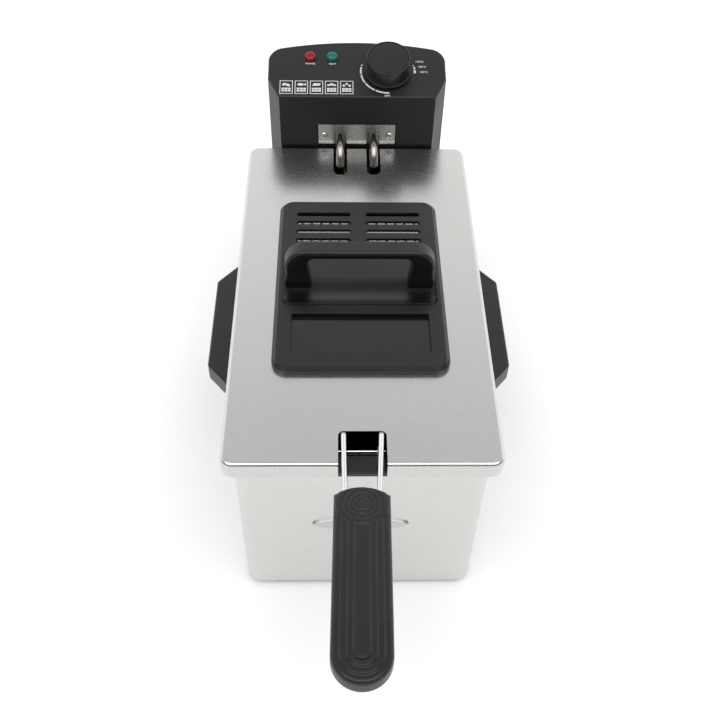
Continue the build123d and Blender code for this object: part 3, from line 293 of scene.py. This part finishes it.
# Side handles: one polypropylene moulding each side, screwed on from inside. Spark-eroded grain
# keeps their highlights soft, and as the plastic is nearly black, faces that look up at the light
# come out lighter than upright ones.
black_moulding = moulded("grained_black_polypropylene", "#08080A", 0.37, 0.6, 0.03)
dress(black_moulding, "side_handle_left", "side_handle_right")


# Badge: a blank oval of thin bright steel, stuck to the front wall. Its smoother face mirrors more
# of the room than the brushed wall behind it.
badge_steel = brushed("polished_badge_steel", "#C6C6C5", 0.3, (8, 8, 0.5), 0.02)
dress(badge_steel, "front_badge")


# Rear guide: folded stainless rails that the control unit slides down on, riveted to the rear
# wall. A satin mill finish gives folded fittings a broad, even highlight.
plain_steel = brushed("satin_stainless_fittings", "#D2D1CE", 0.3, (8, 0.5, 0.5), 0.02, 0.01)
dress(plain_steel, "rear_guide")


# Oil pan: deep-drawn steel, fired with black vitreous enamel. The glassy coat has clear
# reflections with a slow ripple.
enamel = moulded("black_vitreous_enamel", "#0B0B0C", 0.18, 3.0, 0.02)
dress(enamel, "oil_pan")


# Control unit casing: a shell and a rear cover moulded in heat-resistant polyester, screwed
# together. Its grain is coarser than the handles', which makes its sheen broader.
control_moulding = moulded("grained_black_pbt", "#0F0F12", 0.44, 0.7, 0.04)
dress(control_moulding, "control_shell", "control_cover")
dress(zinc, "cover_screws")


# Cord gland: a polypropylene collar and nut clamped in the rear cover, where the mains lead would
# come in.
dress(black_moulding, "cord_gland")


# Element plate: satin stainless sheet that closes the casing's mouth and holds the element's two
# ends, with the clips that keep the loop and the bulb in place.
dress(plain_steel, "element_plate", "element_clips")


# Heating element: an 8.1 mm sheathed tube bent into a loop, and the thermostat's bulb in the same
# finish. Bright annealing leaves a slightly yellow steel with long, sharp glints.
tube_steel = brushed("bright_element_tube", "#9C9790", 0.17, (0.5, 0.5, 9), 0.08)
dress(tube_steel, "heating_element", "thermostat_bulb")


# Terminals and capillary: drawn copper, warm in colour and softly shining along its length.
copper = brushed("drawn_copper", "#C98A5E", 0.28, (0.5, 0.5, 5), 0.06)
dress(copper, "capillary", "element_terminals")


# Thermostat: a polypropylene body behind the panel with a satin steel shaft, which the knob is
# pushed on.
dress(black_moulding, "thermostat_body")
dress(plain_steel, "thermostat_shaft")


# Pilot lamps: two domed polycarbonate lenses clipped into black holders. The plastic is clear
# through and through, so its colour is deep with one sharp glint on the dome.
red_lens = moulded("red_lens_polycarbonate", "#8A0A10", 0.16, 1.6, 0.01)
dress(red_lens, "lamp_lens_red")
green_lens = moulded("green_lens_polycarbonate", "#06685E", 0.16, 1.6, 0.01)
dress(green_lens, "lamp_lens_green")
dress(black_moulding, "lamp_holders")


# Hooks and interlock: satin steel hooks screwed to the cover hold the unit on the housing, and a
# nylon plunger works the switch. Nylon is milky, so the plunger is a warm, soft white.
dress(plain_steel, "hooks")
dress(zinc, "hook_screws")
dress(black_moulding, "interlock_switch")
white_plunger = moulded("natural_nylon", "#D9D6CC", 0.4, 0.5, 0.01)
dress(white_plunger, "interlock_plunger")


# Thermal cut-out: a brown phenolic body, dull like hard resin, with a red ABS reset button that
# comes through the rear cover and has a smooth, light sheen.
resin = moulded("brown_phenolic_resin", "#4A2E1C", 0.4, 0.8, 0.02)
dress(resin, "thermal_cutout")
red_button = moulded("red_button_abs", "#8E1B16", 0.35, 0.5, 0.01)
dress(red_button, "reset_button")


# Thermostat knob: black ABS with a skirt ring at the foot, a thin raised rim round a sunk disc,
# and a pointer notch in the rim. It is pushed on the thermostat's shaft. Finer grain than the
# casing's gives it a slightly sharper sheen.
fine_moulding = moulded("fine_black_abs", "#0C0C0D", 0.4, 0.4, 0.015)
dress(fine_moulding, "knob", "knob_cap")
control_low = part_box("control_shell")[0]
PANEL_TILT, FOLD_ABOVE_LID = radians(16.0), 52.5 * MM
panel_place = Matrix.Rotation(PANEL_TILT, 4, "X")
panel_place.translation = Vector((0, control_low.y, lid_high.z + FOLD_ABOVE_LID))
KNOB_X, KNOB_S, KNOB_FOOT, KNOB_R, KNOB_TOP = 28.0, 30.0, 21.6, 20.0, 18.0
KNOB_DRAFT, POINTER_R, POINTER_DEEP, POINTER_SHAPE = 0.985, 2.2, 4, (1.2, 0.5, 0.25)
MILLIMETRES = Matrix.Diagonal((MM, MM, MM, 1))
WELD = 0.002 * MM


def start_edit(mode="VERT"):
    """Edit mode, selecting vertices, edges or faces."""
    bpy.ops.object.mode_set(mode="EDIT")
    bpy.ops.mesh.select_mode(type=mode)


def place(piece, matrix):
    """Put a piece where it belongs and write that place into its mesh."""
    bpy.ops.object.mode_set(mode="OBJECT")
    bpy.ops.object.select_all(action="DESELECT")
    piece.select_set(True)
    bpy.context.view_layer.objects.active = piece
    piece.matrix_world = matrix
    bpy.ops.object.transform_apply(location=True, rotation=True, scale=True)


def finish_mesh(piece, material, body, angle=30):
    """Turn the faces outwards, smooth them, and give the piece its material and its body."""
    bpy.context.view_layer.objects.active = piece
    start_edit()
    bpy.ops.mesh.select_all(action="SELECT")
    bpy.ops.mesh.remove_doubles(threshold=WELD)
    bpy.ops.mesh.normals_make_consistent(inside=False)
    bpy.ops.object.mode_set(mode="OBJECT")
    bpy.ops.object.shade_smooth_by_angle(angle=radians(angle))
    piece.data.materials.append(material)
    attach(piece, body)


def turned(name, profile, segments):
    """Closed solid of revolution: a circle extruded and resized through (radius, height) pairs."""
    bpy.ops.object.select_all(action="DESELECT")
    radius, height = profile[0]
    bpy.ops.mesh.primitive_circle_add(
        vertices=segments, radius=radius, fill_type="NGON", location=(0, 0, height)
    )
    piece = bpy.context.object
    piece.name = name
    bpy.ops.object.transform_apply(location=True, rotation=True, scale=True)
    start_edit("EDGE")
    bpy.ops.mesh.select_all(action="SELECT")
    bpy.ops.mesh.region_to_loop()
    for new_radius, new_height in profile[1:]:
        bpy.ops.mesh.extrude_edges_move(
            TRANSFORM_OT_translate={"value": (0, 0, new_height - height)}
        )
        share = new_radius / radius
        bpy.ops.transform.resize(value=(share, share, 1))
        radius, height = new_radius, new_height
    bpy.ops.mesh.edge_face_add()
    bpy.ops.object.mode_set(mode="OBJECT")
    return piece


def rounded(radius, height, size, steps=4):
    """Profile points that round an outer upper edge."""
    angles = [radians(90 * i / steps) for i in range(steps + 1)]
    return [(radius - size * (1 - cos(a)), height - size * (1 - sin(a))) for a in angles]


knob = turned(
    "thermostat_knob",
    [(KNOB_FOOT - 0.4, 0.6), (KNOB_FOOT, 1.0)]
    + rounded(KNOB_FOOT, 3.6, 0.7)
    + [(KNOB_R + 0.1, 3.62), (KNOB_R, 3.8), (KNOB_R * 0.992, 10)]
    + rounded(KNOB_R * KNOB_DRAFT, KNOB_TOP, 0.9)
    + [(18.5, KNOB_TOP), (18.25, KNOB_TOP - 0.1), (18.1, KNOB_TOP - 0.6), (17.8, KNOB_TOP - 0.65)]
    + [(17.5, KNOB_TOP - 0.35), (17.2, KNOB_TOP - 0.3), (12, KNOB_TOP - 0.3), (5, KNOB_TOP - 0.35)],
    96,
)
bpy.ops.object.select_all(action="DESELECT")
bpy.ops.mesh.primitive_cylinder_add(
    vertices=32,
    radius=POINTER_R,
    depth=POINTER_DEEP,
    location=(0, -KNOB_R * KNOB_DRAFT + POINTER_R, KNOB_TOP),
)
cutter = bpy.context.object
cutter.scale = POINTER_SHAPE
bpy.ops.object.transform_apply(location=True, rotation=True, scale=True)
bpy.context.view_layer.objects.active = knob
notch = knob.modifiers.new("notch", "BOOLEAN")
notch.operation, notch.object, notch.solver = "DIFFERENCE", cutter, "EXACT"
bpy.ops.object.modifier_apply(modifier="notch")
bpy.data.objects.remove(cutter)
knob_place = panel_place @ Matrix.Translation((KNOB_X * MM, KNOB_S * MM, 0))
place(knob, knob_place @ MILLIMETRES)
finish_mesh(knob, fine_moulding, "knob", 35)
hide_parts("knob", "knob_cap")


# Panel print: white screen-printed marks a few hundredths of a millimetre thick: a dial ring
# in segments with its temperatures, names under the lamps, and five food tiles. The ink dries
# matt, so it stays an even off-white from every side.
INK_LIFT, INK_DEPTH = 0.05, 0.04
CAPITAL_SHARE, LETTER_SPACE, LETTER_BOLD = 0.7, 1.1, 0.06
printed = []


def print_polygons(name, polygons, lift=INK_LIFT):
    """Flat filled curve of closed outlines in panel millimetres, made a mesh."""
    bpy.ops.object.select_all(action="DESELECT")
    data = bpy.data.curves.new(name, "CURVE")
    data.dimensions, data.fill_mode, data.extrude = "2D", "BOTH", INK_DEPTH / 2
    for outline in polygons:
        spline = data.splines.new("POLY")
        spline.points.add(len(outline) - 1)
        for point, (x, y) in zip(spline.points, outline):
            point.co = (x, y, 0, 1)
        spline.use_cyclic_u = True
    mark = bpy.data.objects.new(name, data)
    bpy.context.scene.collection.objects.link(mark)
    mark.select_set(True)
    bpy.context.view_layer.objects.active = mark
    bpy.ops.object.convert(target="MESH")
    mark = bpy.context.object
    mark.location.z = lift
    bpy.ops.object.transform_apply(location=True, rotation=True, scale=True)
    printed.append(mark)


def print_text(words, x, y, height, align="CENTER"):
    """One line of plain lettering, made a mesh."""
    bpy.ops.object.select_all(action="DESELECT")
    data = bpy.data.curves.new(words, "FONT")
    data.body, data.size, data.extrude = words, height / CAPITAL_SHARE, INK_DEPTH / 2
    data.align_x, data.align_y = align, "CENTER"
    data.space_character = LETTER_SPACE
    data.offset = LETTER_BOLD
    mark = bpy.data.objects.new("lettering", data)
    bpy.context.scene.collection.objects.link(mark)
    mark.select_set(True)
    bpy.context.view_layer.objects.active = mark
    bpy.ops.object.convert(target="MESH")
    mark = bpy.context.object
    mark.location = (x, y, INK_LIFT)
    bpy.ops.object.transform_apply(location=True, rotation=True, scale=True)
    printed.append(mark)


def arc_band(start, end, inner, outer, steps=10):
    """Segment of a ring round the knob. Angles in degrees, anticlockwise from +x."""
    angles = [radians(start + (end - start) * i / steps) for i in range(steps + 1)]
    return [(KNOB_X + outer * cos(a), KNOB_S + outer * sin(a)) for a in angles] + [
        (KNOB_X + inner * cos(a), KNOB_S + inner * sin(a)) for a in reversed(angles)
    ]


def rectangle(x, y, width, height):
    """Corners of an upright rectangle round a centre."""
    return [
        (x - width / 2, y - height / 2),
        (x + width / 2, y - height / 2),
        (x + width / 2, y + height / 2),
        (x - width / 2, y + height / 2),
    ]


def oval(x, y, width, height, turn=0, steps=20):
    """Points of an oval, turned by so many degrees."""
    points, lean = [], radians(turn)
    for i in range(steps):
        a = 2 * pi * i / steps
        px, py = width / 2 * cos(a), height / 2 * sin(a)
        points.append((x + px * cos(lean) - py * sin(lean), y + px * sin(lean) + py * cos(lean)))
    return points


DIAL_R, DIAL_LINE = 24.7, 1.5
ring_inner, ring_outer = DIAL_R - DIAL_LINE / 2, DIAL_R + DIAL_LINE / 2
bands = [
    arc_band(start, finish, ring_inner, ring_outer)
    for start, finish in ((-88, -117), (-119.5, -146), (-148.5, -171), (-173, -192))
]
bands += [
    arc_band(-196, -198.5, ring_inner, ring_outer, 2),
    arc_band(-4, 4, DIAL_R - 1.1, DIAL_R + 1.1, 4),
    arc_band(6.5, 13.5, DIAL_R - 0.7, DIAL_R + 0.9, 4),
    arc_band(16.5, 18.5, DIAL_R - 0.5, DIAL_R + 0.5, 2),
]
print_polygons("dial_ring", bands)
for words, x, y in (("170°C", 29.4, 11.8), ("180°C", 31.6, 5.9), ("190°C", 32.9, -0.4)):
    print_text(words, KNOB_X + x, KNOB_S + y, 1.9)
print_text("OFF", KNOB_X - 1.0, KNOB_S - 28.0, 2.0)
print_text("POWER", -42.8, 38.6, 1.7)
print_text("HEAT", -22.6, 38.6, 1.7)
TILE, TILE_HIGH, TILE_LINE = 11.9, 15.2, 0.65
TILE_PITCH, TILE_X, TILE_S = 13.7, -64.4, 11.2
pictures = (
    [oval(-1.8, 3.3, 4.2, 2.8, 30), oval(1.4, 2.5, 4.6, 2.8, -25)],
    [oval(-0.8, 3.2, 6.0, 3.0), [(1.8, 3.2), (4.2, 4.8), (4.2, 1.8)]],
    [[(-4.0, 1.8), (2.6, 1.8), (4.0, 4.6), (-2.6, 4.6)]],
    [oval(0, 3.4, 4.0, 2.8), oval(-2.6, 2.6, 3.2, 2.0), oval(2.6, 2.6, 3.2, 2.0)],
    [oval(0, 4.2, 2.4, 2.2), oval(-2.6, 2.2, 2.8, 2.2), oval(2.6, 2.2, 2.8, 2.2)],
)
for number, picture in enumerate(pictures):
    x = TILE_X + number * TILE_PITCH
    frame_line = [
        rectangle(x, TILE_S, TILE, TILE_HIGH),
        list(reversed(rectangle(x, TILE_S, TILE - 2 * TILE_LINE, TILE_HIGH - 2 * TILE_LINE))),
    ]
    print_polygons("tile_frame", frame_line)
    print_polygons("tile_picture", [[(x + px, TILE_S + py) for px, py in o] for o in picture])
    blocks = [
        rectangle(x + bx, TILE_S + by, 2.5, 1.9) for bx in (-2.9, 0, 2.9) for by in (-1.6, -4.0)
    ]
    print_polygons("tile_block", blocks)
bpy.ops.object.select_all(action="DESELECT")
for mark in printed:
    mark.select_set(True)
bpy.context.view_layer.objects.active = printed[0]
bpy.ops.object.join()
panel_print = bpy.context.object
panel_print.name = "panel_print"
place(panel_print, panel_place @ MILLIMETRES)
white_ink = moulded("white_screen_ink", "#D8D8D6", 0.6, 0.5, 0.005)
finish_mesh(panel_print, white_ink, "control_unit", 30)


# Screws in the element plate: two zinc-plated pan heads with a cross recess, which catch the
# light as bright dots.
dress(zinc, "plate_screws")
plate_low, plate_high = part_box("plate_screws")
HEAD_R, HEAD_HIGH, HEAD_EDGE = 3.4, 1.9, 1.2
RECESS, RECESS_TURN = (3.9, 0.85, 1.7), 20
screw_z = (plate_low.z + plate_high.z) / 2
for number, side in enumerate((-1, 1), start=1):
    screw_x = side * ((plate_high.x - plate_low.x) / 2 - HEAD_R * MM)
    head = turned(
        f"plate_screw_{number}", [(HEAD_R, 0.01)] + rounded(HEAD_R, HEAD_HIGH, HEAD_EDGE, 6), 48
    )
    for turn in (0, 90):
        bpy.ops.object.select_all(action="DESELECT")
        bpy.ops.mesh.primitive_cube_add(size=1, location=(0, 0, HEAD_HIGH))
        cutter = bpy.context.object
        cutter.scale = RECESS
        cutter.rotation_euler = (0, 0, radians(turn + RECESS_TURN * side))
        bpy.ops.object.transform_apply(location=True, rotation=True, scale=True)
        bpy.context.view_layer.objects.active = head
        recess = head.modifiers.new("recess", "BOOLEAN")
        recess.operation, recess.object, recess.solver = "DIFFERENCE", cutter, "EXACT"
        bpy.ops.object.modifier_apply(modifier="recess")
        bpy.data.objects.remove(cutter)
    head_place = Matrix.Rotation(radians(90), 4, "X")
    head_place.translation = Vector((screw_x, plate_low.y + HEAD_HIGH * MM, screw_z))
    place(head, head_place @ MILLIMETRES)
    finish_mesh(head, zinc, "control_unit", 30)
    if number == 1:
        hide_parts("plate_screws")


# Basket tray: welded steel mesh, drawn into a tray with rounded corners and plated bright. The
# wires are 0.9 mm on a 5 mm pitch, and the tray's top row is folded under the rim wire. The
# plating mirrors the room along each wire, so wires look nearly white with dark flanks.
wire_chrome = brushed("bright_plated_wire", "#E6E6E4", 0.16, (0.5, 8, 8), 0.03)
dress(wire_chrome, "basket_mesh")


def round_off(across, along):
    """Move a point of a square corner on to the quarter circle that replaces it."""
    if across <= 0 or along <= 0:
        return across, along
    shrink = max(across, along) / (across**2 + along**2) ** 0.5
    return across * shrink, along * shrink


mesh_low, mesh_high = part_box("basket_mesh")
WIRE, MESH_PITCH = 0.9 * MM, 5.0 * MM
PLAN_CORNER, FLOOR_CORNER = 21 * MM, 9 * MM
half_x = (mesh_high.x - mesh_low.x - WIRE) / 2
half_y = (mesh_high.y - mesh_low.y - WIRE) / 2
middle = (mesh_low + mesh_high) / 2
floor_z, top_z = mesh_low.z + WIRE / 2, mesh_high.z - WIRE / 2
cells_x, cells_y = round(2 * half_x / MESH_PITCH), round(2 * half_y / MESH_PITCH)
rows = round((top_z - floor_z) / MESH_PITCH)
bpy.ops.object.select_all(action="DESELECT")
bpy.ops.mesh.primitive_grid_add(
    x_subdivisions=cells_x, y_subdivisions=cells_y, size=2, location=(0, 0, floor_z)
)
tray = bpy.context.object
tray.name = "basket_wire_mesh"
tray.scale = (half_x, half_y, 1)
bpy.ops.object.transform_apply(location=True, rotation=True, scale=True)
start_edit()
bpy.ops.mesh.select_all(action="SELECT")
bpy.ops.mesh.region_to_loop()
for _ in range(rows):
    bpy.ops.mesh.extrude_edges_move(
        TRANSFORM_OT_translate={"value": (0, 0, (top_z - floor_z) / rows)}
    )
bpy.ops.object.mode_set(mode="OBJECT")
for vertex in tray.data.vertices:
    x, y, z = vertex.co
    # the tray's four upright corners
    out_x, out_y = round_off(abs(x) - half_x + PLAN_CORNER, abs(y) - half_y + PLAN_CORNER)
    if abs(x) > half_x - PLAN_CORNER and abs(y) > half_y - PLAN_CORNER:
        x = (half_x - PLAN_CORNER + out_x) * (1 if x > 0 else -1)
        y = (half_y - PLAN_CORNER + out_y) * (1 if y > 0 else -1)
    # its bottom edge: how far the point stands in from the wall, in plan
    corner_x, corner_y = abs(x) - half_x + PLAN_CORNER, abs(y) - half_y + PLAN_CORNER
    if corner_x > 0 and corner_y > 0:
        inside = PLAN_CORNER - (corner_x**2 + corner_y**2) ** 0.5
        outward = Vector((corner_x * (1 if x > 0 else -1), corner_y * (1 if y > 0 else -1)))
        outward.normalize()
    elif half_x - abs(x) < half_y - abs(y):
        inside, outward = half_x - abs(x), Vector((1 if x > 0 else -1, 0))
    else:
        inside, outward = half_y - abs(y), Vector((0, 1 if y > 0 else -1))
    out, down = FLOOR_CORNER - inside, FLOOR_CORNER - (z - floor_z)
    if out > 0 and down > 0:
        new_out, new_down = round_off(out, down)
        x += outward.x * (new_out - out)
        y += outward.y * (new_out - out)
        z = floor_z + FLOOR_CORNER - new_down
    vertex.co = (x, middle.y + y, z)
wires = tray.modifiers.new("wires", "WIREFRAME")
wires.thickness, wires.use_even_offset, wires.use_boundary = WIRE, False, True
bpy.ops.object.modifier_apply(modifier="wires")
finish_mesh(tray, wire_chrome, "basket", 60)
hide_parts("basket_mesh")


# Basket frame: a rim wire, hoops and runners of 3 to 5 mm steel wire, spot-welded to the tray and
# plated with it, and the bent wire that carries the grip.
dress(wire_chrome, "basket_rim", "basket_hoops", "basket_runners", "handle_wires")


# Basket fittings: a folded stainless bracket that the handle wire is welded to, and the hook that
# hangs the basket on the pan's edge to drain. Satin sheet gives them a broad, soft highlight.
dress(plain_steel, "handle_bracket", "drain_hook")


# Grip: two polypropylene mouldings round the handle wire, screwed together from below. The
# upper one is ribbed by nested ridges that run round its front end, with five rings behind.
GRIP_LENGTH, GRIP_HALF, GRIP_HIGH, GRIP_EDGE = 136.0, 18.75, 8.0, 3.0
GRIP_ARCH, ARCH_FADE = 6.0, 14
GRIP_LEFT, GRIP_AHEAD, GRIP_ABOVE = 1.2 * MM, 27 * MM, 7.7 * MM
GRIP_YAW, GRIP_TILT = radians(1.0), radians(4.0)
GRIP_CELLS_ACROSS, GRIP_CELLS_ALONG = 84, 280
RINGS, RING_CENTRE, RING_FIELD = (2.4, 5.2, 8.6, 12.3, 16.4), -13.8, 17.6
RING_DEPTH, RING_HALF, FIELD_EDGE = 0.5, 0.75, 0.5
TERRACES, TERRACE_EDGE, TERRACE_DROP, NOSE_DROP = (5.3, 9.3, 13.6), 0.45, 0.35, 0.75
RIB_HIGH, RIB_HALF, RIB_INSET, RIB_FADE = 0.3, 0.8, 0.9, 0.3
NOSE_START, NOSE_END = 96, 122
grip_z = Vector((0, sin(GRIP_TILT), cos(GRIP_TILT)))
level_x = Vector((cos(GRIP_YAW), -sin(GRIP_YAW), 0))
grip_x = (level_x - grip_z * level_x.dot(grip_z)).normalized()
grip_y = grip_z.cross(grip_x)
grip_place = Matrix((grip_x, grip_y, grip_z)).transposed().to_4x4()
grip_place.translation = Vector((-GRIP_LEFT, lid_low.y - GRIP_AHEAD, lid_high.z + GRIP_ABOVE))
bpy.ops.object.select_all(action="DESELECT")
bpy.ops.mesh.primitive_grid_add(
    x_subdivisions=GRIP_CELLS_ACROSS, y_subdivisions=GRIP_CELLS_ALONG, size=2
)
grip = bpy.context.object
grip.name = "grip_top_ribbed"
grip.scale = (GRIP_HALF, GRIP_LENGTH / 2, 1)
grip.location = (0, -GRIP_LENGTH / 2, GRIP_HIGH)
bpy.ops.object.transform_apply(location=True, rotation=True, scale=True)
start_edit()
bpy.ops.mesh.select_all(action="SELECT")
bpy.ops.mesh.region_to_loop()
bpy.ops.mesh.extrude_edges_move(TRANSFORM_OT_translate={"value": (0, 0, -GRIP_HIGH)})
bpy.ops.mesh.edge_face_add()
bpy.ops.object.mode_set(mode="OBJECT")


def smooth_step(low, high, value):
    """0 before low, 1 past high, and an S-shaped rise between."""
    share = min(1, max(0, (value - low) / (high - low)))
    return share * share * (3 - 2 * share)


for vertex in grip.data.vertices:
    u, v, w = vertex.co
    ahead = -v - (GRIP_LENGTH - GRIP_HALF)
    if ahead > 0:
        new_u, new_ahead = round_off(abs(u), ahead)
        u, ahead = new_u * (1 if u > 0 else -1), new_ahead
        v = -(GRIP_LENGTH - GRIP_HALF) - ahead
    arch = GRIP_ARCH * (u / GRIP_HALF) ** 2
    v -= arch * max(0, 1 + v / ARCH_FADE)
    from_axis = (u**2 + max(0, ahead) ** 2) ** 0.5
    edge = min(GRIP_HALF - from_axis, (-v - arch) * 0.9)
    if w > 0.5:
        if edge < GRIP_EDGE:
            w -= GRIP_EDGE - (GRIP_EDGE**2 - (GRIP_EDGE - max(0, edge)) ** 2) ** 0.5
        from_ring = (u**2 + (v - RING_CENTRE) ** 2) ** 0.5
        field = smooth_step(RING_FIELD - FIELD_EDGE, RING_FIELD + FIELD_EDGE, from_ring)
        nose = smooth_step(NOSE_START, NOSE_END, -v)
        for radius in TERRACES:
            past = smooth_step(radius - TERRACE_EDGE, radius + TERRACE_EDGE, from_axis)
            w -= field * (TERRACE_DROP + NOSE_DROP * nose) * past
            rib = max(0, 1 - abs(from_axis - radius + RIB_INSET) / RIB_HALF)
            w += field * RIB_HIGH * rib * (1 - RIB_FADE * nose)
        for radius in RINGS:
            w -= (1 - field) * RING_DEPTH * max(0, 1 - abs(from_ring - radius) / RING_HALF)
    vertex.co = (u, v, w)
place(grip, grip_place @ MILLIMETRES)
finish_mesh(grip, black_moulding, "basket", 50)
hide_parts("grip_top")
dress(black_moulding, "grip_top", "grip_bottom")
dress(zinc, "grip_screws")


# Lid: a stainless shell with a rolled skirt, over a liner that seats it on the pan, and the
# perforated screen under its vents. The finer finish mirrors what stands near it, blurred.
lid_steel = brushed("brushed_stainless_lid", "#CFCFCD", 0.26, (5.0, 0.8, 0.8), 0.02, 0.003, 0.02)
dress(lid_steel, "lid_shell", "lid_liner", "filter_screen")
dress(zinc, "lid_screws")


# Lid handle and filter cover: polypropylene mouldings screwed through the shell, with the tray
# that holds the filter from below. They share the side handles' grain.
dress(black_moulding, "lid_handle", "filter_cover", "filter_tray")


# Window: toughened glass, tinted nearly black, in a rubber gasket. Float glass is smooth, with
# only a slow waviness in what it reflects.
tinted = moulded("tinted_toughened_glass", "#141415", 0.09, 40.0, 0.002)
dress(tinted, "window_glass")
dress(rubber, "window_gasket")


# Filter mat: needled felt, whose loose fibres make it matt and fluffy.
felt = moulded("filter_felt", "#C9C3B4", 0.9, 0.8, 0.2)
dress(felt, "filter_mat")
